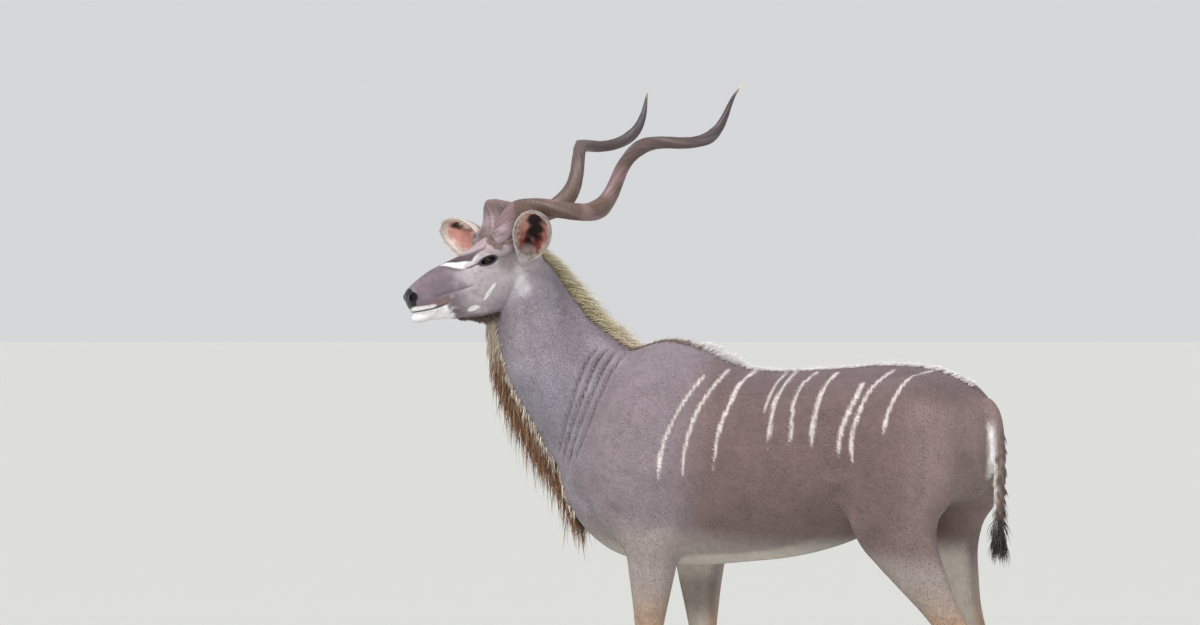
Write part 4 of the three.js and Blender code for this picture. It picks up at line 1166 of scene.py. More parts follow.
def hornFinish():
    made, tree, shader = material("hornFinish", 0.42, 0.6)
    paintedColour(tree, shader, 160.0, 0.22)
    grain = node(tree, "ShaderNodeTexNoise", {"Scale": 260.0, "Detail": 5.0, "Roughness": 0.6})
    rough = node(tree, "ShaderNodeMapRange", {"To Min": 0.3, "To Max": 0.6})
    tree.links.new(grain.outputs["Fac"], rough.inputs["Value"])
    tree.links.new(rough.outputs["Result"], shader.inputs["Roughness"])
    bumped(tree, shader, grain.outputs["Fac"], 0.45, 0.0014)
    return made


def hoofFinish():
    made, tree, shader = material("hoofFinish", 0.5, 0.4)
    paintedColour(tree, shader, 220.0, 0.2)
    rings = node(tree, "ShaderNodeTexWave", {"Scale": 60.0, "Distortion": 2.5, "Detail": 2.0},
                 bands_direction="Z")
    bumped(tree, shader, rings.outputs["Fac"], 0.35, 0.0008)
    return made


def eyeFinish():
    made, tree, shader = material("eyeFinish", 0.06, 0.2, 0.0, 0.05)
    paintedColour(tree, shader, 900.0, 0.12)
    return made


finishes = {"skin": skinFinish(), "fur": furFinish(), "horn": hornFinish(), "hoof": hoofFinish(),
            "eye": eyeFinish()}


def painted(data, colours, name="fur"):
    layer = data.color_attributes.new(name, "FLOAT_COLOR", "POINT")
    rgba = np.ones((len(data.vertices), 4), np.float32)
    rgba[:, :3] = np.clip(colours, 0, 1)
    layer.data.foreach_set("color", rgba.ravel())


def shadedSmooth(data):
    data.polygons.foreach_set("use_smooth", np.ones(len(data.polygons), bool))


def finished(obj, finish, slotName, *nodes):  # into the scene's frame, on its body
    setCoords(obj.data, (coords(obj.data) + shift) / 1000)
    obj.data.materials.clear()
    obj.data.materials.append(finishes[finish])
    if nodes:
        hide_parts(*nodes)
    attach(obj, "root")
    return obj


# Eyes: dark brown balls with a level, oblong pupil
def makeEye(name, sign):
    look, long, rise = eyeFrame(sign)
    verts, faces = ellipsoid((0, 0, 0), np.eye(3), [eyes["radius"] - 0.3] * 3, 72)
    bulge = smooth((unit(verts)[:, 2] - 0.72) / 0.22)
    verts = verts * (1 + 0.03 * bulge)[:, None]
    place = verts @ np.stack([long, rise, look]) + eyeCentre(sign)
    obj = outward(objectOf("eye_ball_" + name, place, faces))
    flat = verts[:, :2] / eyes["radius"]
    ring = np.hypot(flat[:, 0], flat[:, 1])
    colour = evenly("1c110c", len(verts))
    colour = mix(colour, tone("090606"), smooth((ring - 0.5) / 0.12))
    colour = mix(colour, tone("030303"), 1 - smooth((np.hypot(flat[:, 0] / 1.7, flat[:, 1]) - 0.2) / 0.05))
    painted(obj.data, colour)
    shadedSmooth(obj.data)
    return finished(obj, "eye", "eye", "eye_" + name)


def onEyeball(flat, sign, radius):  # a place on a ball round the eye, over a point of the lids' plane
    look, long, rise = eyeFrame(sign)
    depth = np.sqrt(np.maximum(radius**2 - np.sum(flat**2, 1), 0))
    return eyeCentre(sign) + flat[:, :1] * long + flat[:, 1:] * rise + depth[:, None] * look


def makeLidRim(name, sign):  # the dark, bare edge of the lids, drawn out to the tear duct in front
    count, tubeSides = 90, 10
    flat = lidOutline(count, 0.5)
    front = smooth((-sign * flat[:, 0] - 15) / 7)
    flat[:, 0] -= sign * 3.5 * front
    flat[:, 1] -= 1.5 * front
    middle = onEyeball(flat, sign, eyes["radius"] + 1.3)
    along = unit(np.roll(middle, -1, 0) - np.roll(middle, 1, 0))
    out = unit(middle - eyeCentre(sign))
    side = unit(np.cross(along, out))
    size = 2.2 + 0.5 * front
    angle = 2 * np.pi * np.arange(tubeSides) / tubeSides
    rings = (middle[:, None] + side[:, None] * (size[:, None] * np.cos(angle))[..., None]
             + out[:, None] * (0.8 * size[:, None] * np.sin(angle))[..., None])
    faces = []
    for r in range(count):
        for k in range(tubeSides):
            a, b = r * tubeSides + k, r * tubeSides + (k + 1) % tubeSides
            c, d = (r + 1) % count * tubeSides + (k + 1) % tubeSides, (r + 1) % count * tubeSides + k
            faces.append((a, b, c, d))
    obj = outward(objectOf("eye_rim_" + name, rings.reshape(-1, 3), faces))
    painted(obj.data, evenly("1d1719", count * tubeSides))
    shadedSmooth(obj.data)
    return finished(obj, "hoof", "eye")


# Horns: a corkscrew round a straight axis, with a keel that winds with it
horns = {"seat": (-312, 69, 58), "root": (-308, 46, 14), "rootShare": 0.55, "reach": (642, 290, 425),
         "rings": 440, "around": 48, "ridgeStep": 13, "ridge": 1.5, "furrow": 0.9}
hornStations = [  # swing from the axis, bow, turn round it in degrees, thickness, shift along it
    ("seat", 15, 0, -95, 81, -17),
    ("first crown", 54, 7, 2, 62, -5),
    ("over the ear", 56, 10, 84, 56, 0),
    ("first hollow", 54, 14, 178, 53, 0),
    ("first climb", 50, 18, 268, 45, -3),
    ("second crown", 42, 22, 350, 41, -8),
    ("level run", 38, 22, 458, 37, 0),
    ("second hollow", 34, 18, 560, 29, 6),
    ("tip", 28, 0, 680, 4, 30),
]


def hornPath(sign, t):
    seat = sidePlace(horns["seat"], sign)
    back, out, up = horns["reach"]
    axis = -ahead * back + headV * sign * out + upBody * up
    along = unit(axis)
    side = headV * sign
    side = unit(side - along * (side @ along))
    front = np.cross(along, side)
    front = unit(front * np.sign(front @ upBody))
    swing, bow, turned, thick, slide = blended(hornStations, t).T
    angle = np.radians(turned)
    lift = (swing * np.cos(angle) - bow)[:, None] * front
    centre = seat + np.clip(t, 0, 1)[:, None] * axis + slide[:, None] * along + lift
    centre = centre + (swing * np.sin(angle))[:, None] * side
    keel = np.cos(angle)[:, None] * front + np.sin(angle)[:, None] * side
    return centre, keel, thick


def makeHorn(name, sign):
    t = np.linspace(0, 1, horns["rings"])
    centre, keel, thick = hornPath(sign, t)
    tangent = unit(hornPath(sign, np.minimum(t + 0.012, 1))[0] - hornPath(sign, np.maximum(t - 0.012, 0))[0])
    keel = unit(keel - tangent * np.sum(keel * tangent, 1, keepdims=True))
    flat = np.cross(tangent, keel)
    run = np.concatenate([[0], np.cumsum(np.linalg.norm(np.diff(centre, axis=0), axis=1))])
    angle = 2 * np.pi * np.arange(horns["around"]) / horns["around"]
    ridge = 1 + 0.17 * np.maximum(0, np.cos(angle)) ** 7 + 0.06 * np.maximum(0, -np.cos(angle)) ** 5
    place = np.stack([np.repeat(run[:, None], len(angle), 1).ravel(), np.tile(np.cos(angle) * 40, len(run)),
                      np.tile(np.sin(angle) * 40, len(run))], 1)
    fade = 1 - smooth((t - 0.05) / 0.55)
    drift = 0.9 * speckle(place * (0.5, 1, 1), 26, 4).reshape(len(run), -1)
    phase = run[:, None] / horns["ridgeStep"] + drift
    rings = np.abs(np.sin(np.pi * phase)) ** 0.6 - 0.6
    frontal = 0.35 + 0.65 * np.maximum(0, np.cos(angle - 0.2)) ** 0.7  # strongest over the keel
    swell = horns["ridge"] * rings * fade[:, None] * frontal
    furrows = horns["furrow"] * speckle(place * (0.14, 1, 1), 5, 6).reshape(len(run), -1)
    swell = swell + furrows * np.minimum(1, thick / 30)[:, None] - 0.9
    radius = thick[:, None] / 2
    surface = (centre[:, None] + keel[:, None] * ((radius * ridge + swell) * np.cos(angle))[..., None]
               + flat[:, None] * ((radius * 0.94 + swell) * np.sin(angle))[..., None])
    root = (surface[0] - centre[0]) * horns["rootShare"] + sidePlace(horns["root"], sign)
    surface = np.concatenate([root[None], surface])
    obj = outward(objectOf("horn_fine_" + name, *loft(surface)))
    t = np.concatenate([[0], t])
    # the relief of rings and furrows, used below for painted shade
    shade = np.concatenate([swell[:1], swell]).ravel()
    spread = np.repeat(t, len(angle))
    cloud = speckle(surface.reshape(-1, 3), 46, 12)
    streak = speckle(np.concatenate([place[: len(angle)], place]) * (0.09, 1, 1), 7, 14)
    colour = evenly("5e4941", len(spread))
    for code, share in (
        ("7f6464", smooth((cloud + 0.15) / 0.8) * (1 - smooth((spread - 0.5) / 0.3))),
        # painted sheen: paler grey-lavender streaks round the base of the horn
        ("91808a", smooth((0.13 - spread) / 0.08) * smooth((streak + 0.4) / 0.9) * 0.7),
        ("4a3a37", 0.8 * smooth((spread - 0.42) / 0.3)),
        ("3a3236", 0.7 * smooth((spread - 0.7) / 0.2)),
        ("5d5560", 0.5 * smooth((streak - 0.1) / 0.5) * smooth((spread - 0.45) / 0.2)),
        ("8d7a68", smooth((spread - 0.957) / 0.018)),
        ("d9c6a8", smooth((spread - 0.976) / 0.012)),
    ):
        colour = mix(colour, tone(code), share)
    # painted shade and light: darker in the furrows between the rings and lighter on their ridges, following
    # the relief, with random streaks
    colour = colour * (1 + 0.22 * np.clip(shade + 0.9, -1.2, 1.2)[:, None] / 1.2 + 0.12 * streak[:, None])
    painted(obj.data, colour)
    shadedSmooth(obj.data)
    return finished(obj, "horn", "horn", "horn_" + name)


# Hooves: two pointed claws under each foot
hooves = {"long": 96, "wide": 36, "gap": 5, "top": 54, "lean": 0.62, "coronet": 30}
clawLevels = [("sole", 0, 1), ("edge", 6, 1.01), ("wall", 34, 0.93), ("coronet", 54, 0.8)]


def clawRings(centreX, heelY, sign, inner):
    count = 56
    angle = 2 * np.pi * np.arange(count) / count
    along = 0.5 - 0.5 * np.cos(angle)
    taper = np.where(along < 0.55, 1, 1 - 0.62 * np.clip((along - 0.55) / 0.45, 0, 1) ** 1.6)
    s = np.abs(np.sin(angle))
    across = np.where(np.sin(angle) > 0, 0.62 * s**0.7 * taper, -0.38 * s**0.45) * hooves["wide"]
    facing = -sign if inner else sign
    rings = []
    for z, grow in [(0, 0.86), (0.6, 0.97), *blended(clawLevels, np.linspace(0, 1, 22))[1:]]:
        ripple = 1 + 0.006 * np.sin(z * 1.1)
        x = centreX + facing * (hooves["gap"] / 2 + hooves["wide"] * 0.38 + across * grow * ripple)
        y = heelY - hooves["long"] * (0.5 + (along - 0.5) * grow * ripple) + hooves["lean"] * z * 0.6
        rings.append(np.stack([x, y, np.full(count, float(z))], 1))
    return rings


def makeHooves():
    for leg, stations in legs.items():
        sign = sides[leg.split("_")[1]]
        x, y = stations[-1][1:3]
        for inner in (False, True):
            which = "inner" if inner else "outer"
            rings = clawRings(x, y + hooves["coronet"], sign, inner)
            obj = outward(objectOf(f"hoof_{leg}_{which}", *loft(rings)))
            points = coords(obj.data)
            streak = speckle(points * (1, 1, 0.15), 4, 7)
            colour = mix(evenly("2b2523", len(points)), tone("5b4d43"),
                         0.5 * smooth((streak + 0.2) / 0.9) + 0.25 * smooth((14 - points[:, 2]) / 12))
            painted(obj.data, colour)
            shadedSmooth(obj.data)
            finished(obj, "hoof", "hoof", f"{leg}_claw_{which}")


def bareSkin(points):  # nose pad, nostrils and lips have no hair
    u, v, w = headPlaces(points).T
    above = w - mouthLevel(u)
    bare = smooth((u + 15) / 6) * smooth((above - 6) / 5)
    bare = np.maximum(bare, np.exp(-((above / 3) ** 2)) * (u > -112) * (u < 30))
    for sign in sides.values():
        for centre, clear, fade in ((sidePlace(nostrilPlace, sign), 15, 6), (eyeCentre(sign), 23, 4)):
            away = np.linalg.norm(points - centre, axis=1)
            bare = np.maximum(bare, 1 - smooth((away - clear) / fade))
    return bare * headShareOf(points)


skinPoints, skinNormals = coords(skin.data), vertexNormals(skin.data)
skinBare = bareSkin(skinPoints)
painted(skin.data, coatColour(skinPoints) * 0.92)
layer = skin.data.attributes.new("bare", "FLOAT", "POINT")
layer.data.foreach_set("value", skinBare.astype(np.float32))
shadedSmooth(skin.data)
for sideName, sideSign in sides.items():
    makeEye(sideName, sideSign)
    makeLidRim(sideName, sideSign)
    makeHorn(sideName, sideSign)
makeHooves()
print("eyes, horns and hooves")


# The coat: many small solid tufts, and long locks where the coat is long
def meshFromArrays(name, points, faces, sizes):  # faces as one flat array of corners
    data = bpy.data.meshes.new(name)
    data.vertices.add(len(points))
    data.vertices.foreach_set("co", np.asarray(points, np.float32).ravel())
    data.loops.add(len(faces))
    data.loops.foreach_set("vertex_index", np.asarray(faces, np.int32))
    data.polygons.add(len(sizes))
    data.polygons.foreach_set("loop_start", (np.cumsum(sizes) - sizes).astype(np.int32))
    data.polygons.foreach_set("loop_total", np.asarray(sizes, np.int32))
    data.update(calc_edges=True)
    data.validate()
    return linked(name, data)


patchSize = 0.003


def bakePatches(data, places, local):  # each tuft is a small patch at its root's place on the unwrap
    low, high = places.min(0), places.max(0)
    spot = 0.008 + (places - low) / np.maximum(high - low, 1e-6) * 0.98
    corner = (spot[:, None] + (local - 0.5)[None] * patchSize).reshape(-1, 2)
    vertex = gathered(data.loops, "vertex_index", 1, np.int32).ravel()
    layer = data.uv_layers.new(name="OFBake")
    layer.data.foreach_set("uv", np.clip(corner[vertex], 0, 1).astype(np.float32).ravel())


def ontoSkin(points):
    hits = [finder.tree.find_nearest(Vector(p)) for p in points]
    return np.array([h[0] for h in hits]), np.array([h[1] for h in hits])


def shortTufts(name, roots, normals, lies, length, width, height, places, seed, lift, contrast):
    rng = np.random.default_rng(seed)
    count = len(roots)
    length = np.reshape(length * rng.uniform(0.75, 1.25, count), (-1, 1))
    width = np.reshape(width * rng.uniform(0.8, 1.2, count), (-1, 1))
    height = np.reshape(np.broadcast_to(height, count), (-1, 1))
    lies = unit(lies + 0.16 * rng.normal(size=(count, 3)))
    lies = unit(lies - normals * np.sum(lies * normals, 1, keepdims=True))
    side = np.cross(normals, lies)
    tips, tipNormals = ontoSkin(roots + lies * length)
    points = np.stack([
        roots - side * width / 2 - normals * 0.9,
        roots + side * width / 2 - normals * 0.9,
        roots * 0.75 + tips * 0.25 + normals * height,
        tips + tipNormals * np.reshape(lift * rng.uniform(0.5, 1.3, count), (-1, 1)),
    ], 1)
    corners = np.array([0, 3, 2, 2, 3, 1, 0, 1, 3, 0, 2, 1])
    faces = (np.arange(count)[:, None] * 4 + corners).ravel()
    obj = meshFromArrays(name, points.reshape(-1, 3), faces, np.full(count * 4, 3))
    bakePatches(obj.data, places, np.array([[0, 0], [1, 0], [0.5, 0.4], [0.5, 1]]))
    luck = rng.random(count)
    odd = np.where(luck < 0.12, -0.3, np.where(luck > 0.86, 0.16, 0))  # a few tufts are darker or paler
    shade = 1 + contrast * (odd + rng.normal(0, 0.06, count))
    atRoot, atTip = coatColour(roots), coatColour(points[:, 3])
    perPoint = np.stack([atRoot, atRoot, atRoot * 0.4 + atTip * 0.6, atTip], 1) * shade[:, None, None]
    perPoint = perPoint * (1 + contrast * np.array([-0.16, -0.16, -0.02, 0.07]))[None, :, None]
    painted(obj.data, perPoint.reshape(-1, 3))
    return finished(obj, "fur", "coat")


def scattered(count, seed, weight):  # roots on the skin's triangles, spread by area and weight
    rng = np.random.default_rng(seed)
    tri = skinTriangles
    chance = triangleAreas * weight
    index = np.searchsorted(np.cumsum(chance) / chance.sum(), (np.arange(count) + rng.random(count)) / count)
    index = np.minimum(index, len(tri) - 1)
    a, b = rng.random(count), rng.random(count)
    flip = a + b > 1
    a[flip], b[flip] = 1 - a[flip], 1 - b[flip]
    share = np.stack([1 - a - b, a, b], 1)[..., None]
    corner = tri[index]
    return (np.sum(skinPoints[corner] * share, 1), unit(np.sum(skinNormals[corner] * share, 1)),
            unit(np.sum(skinLie[corner] * share, 1)))


def lieField(points, normals, pairs):  # which way the hair lies: back and down, and away from the nose
    x, y, z = points.T
    away = np.stack([np.sign(x) * 0.1, 1 + 0 * y, -0.5 - 0.35 * smooth((1150 - z) / 200)], 1)
    low = smooth((900 - z) / 170)
    lie = away * (1 - low)[:, None] + np.array([0, 0.15, -1.0]) * low[:, None]
    rows, _, _, along = neckFrame(np.linspace(0, 1, 40))
    tree = KDTree(40)
    for k, p in enumerate(rows[:, :3]):
        tree.insert(p, k)
    tree.balance()
    neckShare = smooth((-60 - y) / 200) * smooth((z - 950) / 150)
    nearest = np.array([tree.find(p)[1] for p in points])
    lie = lie * (1 - neckShare)[:, None] + (-along[nearest] + np.array([0, 0.1, -0.25])) * neckShare[:, None]
    onHead = headShareOf(points)
    u, v, w = headPlaces(points).T
    back = -headU + np.sign(v)[:, None] * headV * 0.12 - headW * (0.25 * smooth((10 - w) / 60))[:, None]
    lie = lie * (1 - onHead)[:, None] + back * onHead[:, None]
    for name in sides:
        _, earAlong, _, _ = earFrame(name)
        share, _, _, onEar = earPlaces(points, name)
        weight = (onEar * smooth((share - 0.04) / 0.1))[:, None]
        lie = lie * (1 - weight) + earAlong * weight
    onTail = ((y > 1010) & (np.abs(x) < 60))[:, None]
    lie = np.where(onTail, np.array([0, 0.05, -1.0]), lie)
    lie = lie - normals * np.sum(lie * normals, 1, keepdims=True)
    for _ in range(12):
        lie = unit(0.4 * lie + 0.6 * averaged(lie, pairs, len(points)))
        lie = lie - normals * np.sum(lie * normals, 1, keepdims=True)
    return unit(lie)


skinTriangles = trianglesOf(skin.data)
edges = [skinPoints[skinTriangles[:, k]] for k in range(3)]
triangleAreas = 0.5 * np.linalg.norm(np.cross(edges[1] - edges[0], edges[2] - edges[0]), axis=1)
triangleCentres = sum(edges) / 3
skinLie = lieField(skinPoints, skinNormals, edgePairs(skin.data))
print("lie of the coat")


def regions(points):  # where each piece of the coat grows
    x, y, z = points.T
    head = headShareOf(points)
    ears = np.zeros(len(points))
    for name in sides:
        share, _, _, onEar = earPlaces(points, name)
        ears = np.maximum(ears, onEar * (share > 0.06))
    head = np.where(ears > 0, 0, head)
    neck = (1 - headShareOf(points)) * (ears == 0) * (y < -150 - 0.35 * (1150 - z)) * (z > 880)
    foreLegs, hindLegs = (z < 800) & (y < 300), ((z < 860) & (y > 640)) | ((y > 560) & (z < 700))
    trunk = (head < 0.5) & (neck < 0.5) & (ears == 0) & ~foreLegs & ~hindLegs
    return {"head": head > 0.5, "ears": ears > 0, "neck": neck > 0.5, "foreLegs": foreLegs,
            "hindLegs": hindLegs, "flankLeft": trunk & (x >= 0), "flankRight": trunk & (x < 0)}


coat = {  # tufts, length, width, height, all in mm
    "head": {"count": 44000, "long": 6.0, "wide": 2.0, "high": 0.25, "lift": 0.5, "contrast": 0.45},
    "ears": {"count": 12000, "long": 7.5, "wide": 2.0, "high": 0.25, "lift": 0.9, "contrast": 0.7},
    "neck": {"count": 40000, "long": 11.0, "wide": 2.9, "high": 0.3, "lift": 0.6, "contrast": 0.35},
    "foreLegs": {"count": 24000, "long": 10.0, "wide": 3.0, "high": 0.3, "lift": 0.6, "contrast": 0.35},
    "hindLegs": {"count": 28000, "long": 10.5, "wide": 3.1, "high": 0.3, "lift": 0.6, "contrast": 0.35},
    "flankLeft": {"count": 36000, "long": 13.0, "wide": 3.1, "high": 0.25, "lift": 0.5, "contrast": 0.3},
    "flankRight": {"count": 36000, "long": 13.0, "wide": 3.1, "high": 0.25, "lift": 0.5, "contrast": 0.3},
}


def unwrapped(region, points, normals):  # the skin laid flat: round each form, and along it
    x, y, z = points.T
    if region in ("flankLeft", "flankRight"):
        return np.stack([y, np.degrees(np.arctan2(z - 1040, np.abs(x)))], 1)
    if region == "neck":
        rows, across, nape, along = (a[0] for a in neckFrame([0.4]))
        away = points - rows[:3]
        return np.stack([np.degrees(np.arctan2(away @ across, away @ nape)), away @ along], 1)
    if region == "head":
        u, v, w = headPlaces(points).T
        return np.stack([u, np.degrees(np.arctan2(v, w + 40))], 1)
    if region == "ears":
        out = np.zeros((len(points), 2))
        for k, name in enumerate(sides):
            share, across, inner, onEar = earPlaces(points, name)
            out[onEar] = np.stack([share, across * 0.45 + k * 4 + inner * 2.0], 1)[onEar]
        return out
    centreX = 118 * np.sign(x)
    centreY = np.where(y > 400, 960, 10)
    around = np.degrees(np.arctan2(y - centreY, (x - centreX)))
    return np.stack([around + 400 * (x > 0), z], 1)


def growCoat():
    masks = regions(triangleCentres)
    bareHere = skinBare[skinTriangles].mean(1)
    for k, (region, size) in enumerate(coat.items()):
        weight = masks[region] * (bareHere < 0.35)
        if region == "head":
            weight = weight * (1 + 0.8 * smooth((headPlaces(triangleCentres)[:, 0] + 200) / 120))
        roots, normals, lies = scattered(size["count"] // (1), 100 + k, weight)
        scale = np.ones(len(roots))
        if region == "head":
            u = headPlaces(roots)[:, 0]
            scale = 0.62 + 0.5 * smooth((-150 - u) / 180)
        if region.endswith("Legs"):
            scale = 0.7 + 0.3 * smooth((roots[:, 2] - 150) / 500)
        shortTufts("coat_" + region, roots, normals, lies, size["long"] * scale, size["wide"] * scale,
                   size["high"] * scale, unwrapped(region, roots, normals), 300 + k, size["lift"] * scale,
                   size["contrast"])
    print("short coat")


growCoat()


# Long hair: clumps of tapered strands that leave the skin, bend over and hang, drawn together at their tips
strandWidths = np.array([0.75, 1.0, 0.9, 0.62, 0.3])  # from the root on; the tip is a point


# Each kind of hair has its strands to a clump, their width and spread in mm, how far the tips are drawn
# together, how much the strands differ in shade, and a seed.
def growLocks(name, hair, root, out, lean, fall, length, rootColour, tipColour, places):
    rng = np.random.default_rng(hair["seed"] + 1)
    pick = np.repeat(np.arange(len(root)), hair["strands"])
    count = len(pick)
    normal = unit(out[pick])
    across = unit(np.cross(normal, lean[pick]) + 1e-6)
    forth = np.cross(across, normal)
    spread = np.broadcast_to(hair["spread"], len(root))[pick]
    where = rng.normal(size=(count, 2)) * np.reshape(spread * 0.5, (-1, 1))
    offset = across * where[:, :1] + forth * where[:, 1:]
    long = length[pick] * rng.uniform(0.62, 1.08, count)
    start = unit(lean[pick] + 0.16 * rng.normal(size=(count, 3)))
    end = unit(fall[pick] + 0.12 * rng.normal(size=(count, 3)))
    levels = len(strandWidths)
    point = root[pick] + offset - normal * 2.5
    face = unit(normal + 0.5 * rng.normal(size=(count, 3)))
    wave = rng.uniform(0, 6.28, count)
    thick = np.reshape(hair["width"] * rng.uniform(0.7, 1.3, count), (-1, 1))
    rings, step = [], (long / levels)[:, None]
    for k in range(levels + 1):
        t = k / levels
        heading = unit(start * (1 - smooth(t * 1.25)) + end * smooth(t * 1.25)
                       + 0.10 * t * (np.sin(wave + 5 * t)[:, None] * across))
        drawn = point - offset * hair["gather"] * smooth(t)
        side = unit(np.cross(heading, face))
        through = np.cross(side, heading)
        if k < levels:
            half = thick * strandWidths[k] / 2
            rings.append(np.stack([drawn - side * half - through * half * 0.3,
                                   drawn + side * half - through * half * 0.3,
                                   drawn + through * half * 0.45], 1))
        else:
            rings.append(drawn[:, None])
        point = point + heading * step
    points = np.concatenate(rings, 1)
    perStrand = points.shape[1]
    corners = [0, 2, 1]
    for k in range(levels - 1):
        for a, b in ((0, 1), (1, 2), (2, 0)):
            corners += [3 * k + a, 3 * k + b, 3 * k + 3 + b, 3 * k + a, 3 * k + 3 + b, 3 * k + 3 + a]
    tip = perStrand - 1
    for a, b in ((0, 1), (1, 2), (2, 0)):
        corners += [tip - 3 + a, tip - 3 + b, tip]
    corners = np.array(corners)
    faces = (np.arange(count)[:, None] * perStrand + corners).ravel()
    obj = meshFromArrays(name, points.reshape(-1, 3), faces, np.full(count * len(corners) // 3, 3))
    level = np.append(np.repeat(np.arange(levels), 3), levels) / levels
    local = np.stack([np.append(np.tile([0, 1, 0.5], levels), 0.5), level], 1)
    bakePatches(obj.data, places[pick], local)
    luck = rng.uniform(1 - hair["darken"], 1 + hair["darken"], count)[:, None, None]
    share = smooth(level * 1.15 - 0.1)[None, :, None]
    colour = (rootColour[pick][:, None] * (1 - share) + tipColour[pick][:, None] * share) * luck
    painted(obj.data, colour.reshape(-1, 3))
    print(name, len(obj.data.polygons), "triangles")
    return finished(obj, "fur", "coat")


def spaced(low, high, count, rng):  # even steps, each a little off its place
    return low + (high - low) * (np.arange(count) + 0.5 + 0.5 * rng.uniform(-0.5, 0.5, count)) / count


def alongNeckLine(hair, rng):  # rows of roots down the neck: share along, share across and place on the neck
    rows, acrosses = hair["along"], hair["across"]
    share = np.repeat(spaced(0, 1, rows, rng), acrosses) + rng.uniform(-0.01, 0.01, rows * acrosses)
    t = hair["from"] + (hair["to"] - hair["from"]) * np.clip(share, 0, 1)
    return share, np.tile(np.linspace(-1, 1, acrosses), rows), t


throat = {"along": 120, "across": 9, "halfAngle": 0.30, "from": 0.10, "to": 0.95,
          "longest": 185, "shortest": 52,
          "strands": 5, "width": 3.6, "spread": 13, "gather": 0.75, "darken": 0.25, "seed": 11}


def throatFringe():
    rng = np.random.default_rng(throat["seed"])
    share, sideways, t = alongNeckLine(throat, rng)
    sideways = sideways * throat["halfAngle"] * (0.55 + 0.45 * smooth((0.9 - share) / 0.3))
    sideways = sideways + rng.uniform(-0.03, 0.03, len(share))
    neck, across, nape, alongNeck = neckFrame(t)
    out = unit(-nape * np.cos(sideways)[:, None] + across * np.sin(sideways)[:, None])
    root = (neck[:, :3] - nape * ((neck[:, 5] - 4) * np.cos(sideways))[:, None]
            + across * (neck[:, 3] * np.sin(sideways))[:, None])
    root, _ = ontoSkin(root)
    onNeck = headPlaces(root)[:, 2] < -122
    root, out, alongNeck, share, sideways = (a[onNeck] for a in (root, out, alongNeck, share, sideways))
    edge = np.abs(sideways) / throat["halfAngle"]
    long = throat["longest"] + (throat["shortest"] - throat["longest"]) * smooth((share - 0.25) / 0.75)
    long = long * (1 - 0.75 * edge) * rng.uniform(0.75, 1.15, len(share))
    down = np.array([0, 0, -1.0])
    lean = unit(out * 0.5 - alongNeck * 0.4 + down * 0.55)
    fall = unit(down + out * 0.02 - alongNeck * 0.22)
    pale = np.maximum(smooth((edge - 0.7) / 0.2), smooth((share - 0.52) / 0.16))
    pale = pale * (0.6 + 0.4 * rng.random(len(share)))
    rootColour = mix(evenly("56443a", len(share)), tone("ddd3c8"), pale)
    tipColour = mix(evenly("8a6244", len(share)), tone("b07d52"), rng.random(len(share)))
    tipColour = mix(tipColour, tone("e2d3c0"), 0.8 * smooth((pale - 0.35) / 0.4))
    tipColour = mix(tipColour, tone("c99c70"), 0.6 * (rng.random(len(share)) > 0.8))
    growLocks("fringe_throat", throat, root, out, lean, fall, long, rootColour, tipColour,
              np.stack([sideways, share], 1))


napeHair = {"along": 110, "across": 5, "from": 0.25, "to": 0.985, "long": 96,
            "strands": 6, "width": 2.6, "spread": 9, "gather": 0.7, "darken": 0.2, "seed": 23}


def napeMane():
    rng = np.random.default_rng(napeHair["seed"])
    share, sideways, t = alongNeckLine(napeHair, rng)
    neck, across, nape, alongNeck = neckFrame(t)
    root = neck[:, :3] + nape * (neck[:, 4] - 3)[:, None] + across * (sideways * 13)[:, None]
    root, _ = ontoSkin(root)
    long = napeHair["long"] * (0.55 + 0.45 * np.sin(np.pi * np.clip(share * 0.95 + 0.05, 0, 1)))
    long = long * rng.uniform(0.7, 1.15, len(share)) * (1 - 0.25 * np.abs(sideways))
    apart = rng.normal(0, 0.14, (len(share), 1)) * across
    lean = unit(nape - alongNeck * 0.45 + across * (0.15 * sideways)[:, None] + apart)
    fall = unit(nape * 0.5 - alongNeck * 0.85 + across * (0.12 * sideways)[:, None] + apart)
    rootColour = mix(evenly("a69b7c", len(share)), tone("bfb28e"), rng.random(len(share)))
    rootColour = mix(rootColour, tone("cbb8a2"), 0.8 * smooth((0.3 - share) / 0.15))
    tipColour = mix(evenly("d6c9a3", len(share)), tone("f2e7cb"), rng.random(len(share)))
    tipColour = mix(tipColour, tone("ecdccb"), 0.8 * smooth((0.3 - share) / 0.15))
    growLocks("mane_nape", napeHair, root, nape, lean, fall, long, rootColour, tipColour,
              np.stack([sideways, share], 1))


crestHair = {"along": 300, "from": 62, "to": 985, "aside": 7, "long": 32,
             "strands": 8, "width": 2.6, "spread": 9, "gather": 0.5, "darken": 0.12, "seed": 37}
humpHair = {"along": 120, "from": -190, "to": 90, "aside": 16, "long": 22,
            "strands": 7, "width": 1.6, "spread": 18, "gather": 0.2, "darken": 0.2, "seed": 38}


def topOfBack(hair, rng):  # roots down the middle of the back
    y = spaced(hair["from"], hair["to"], hair["along"], rng)
    x = rng.uniform(-hair["aside"], hair["aside"], len(y))
    down = Vector((0, 0, -1))
    return np.array([finder.tree.ray_cast(Vector((a, b, 1600)), down)[0] for a, b in zip(x, y)]), y, len(y)


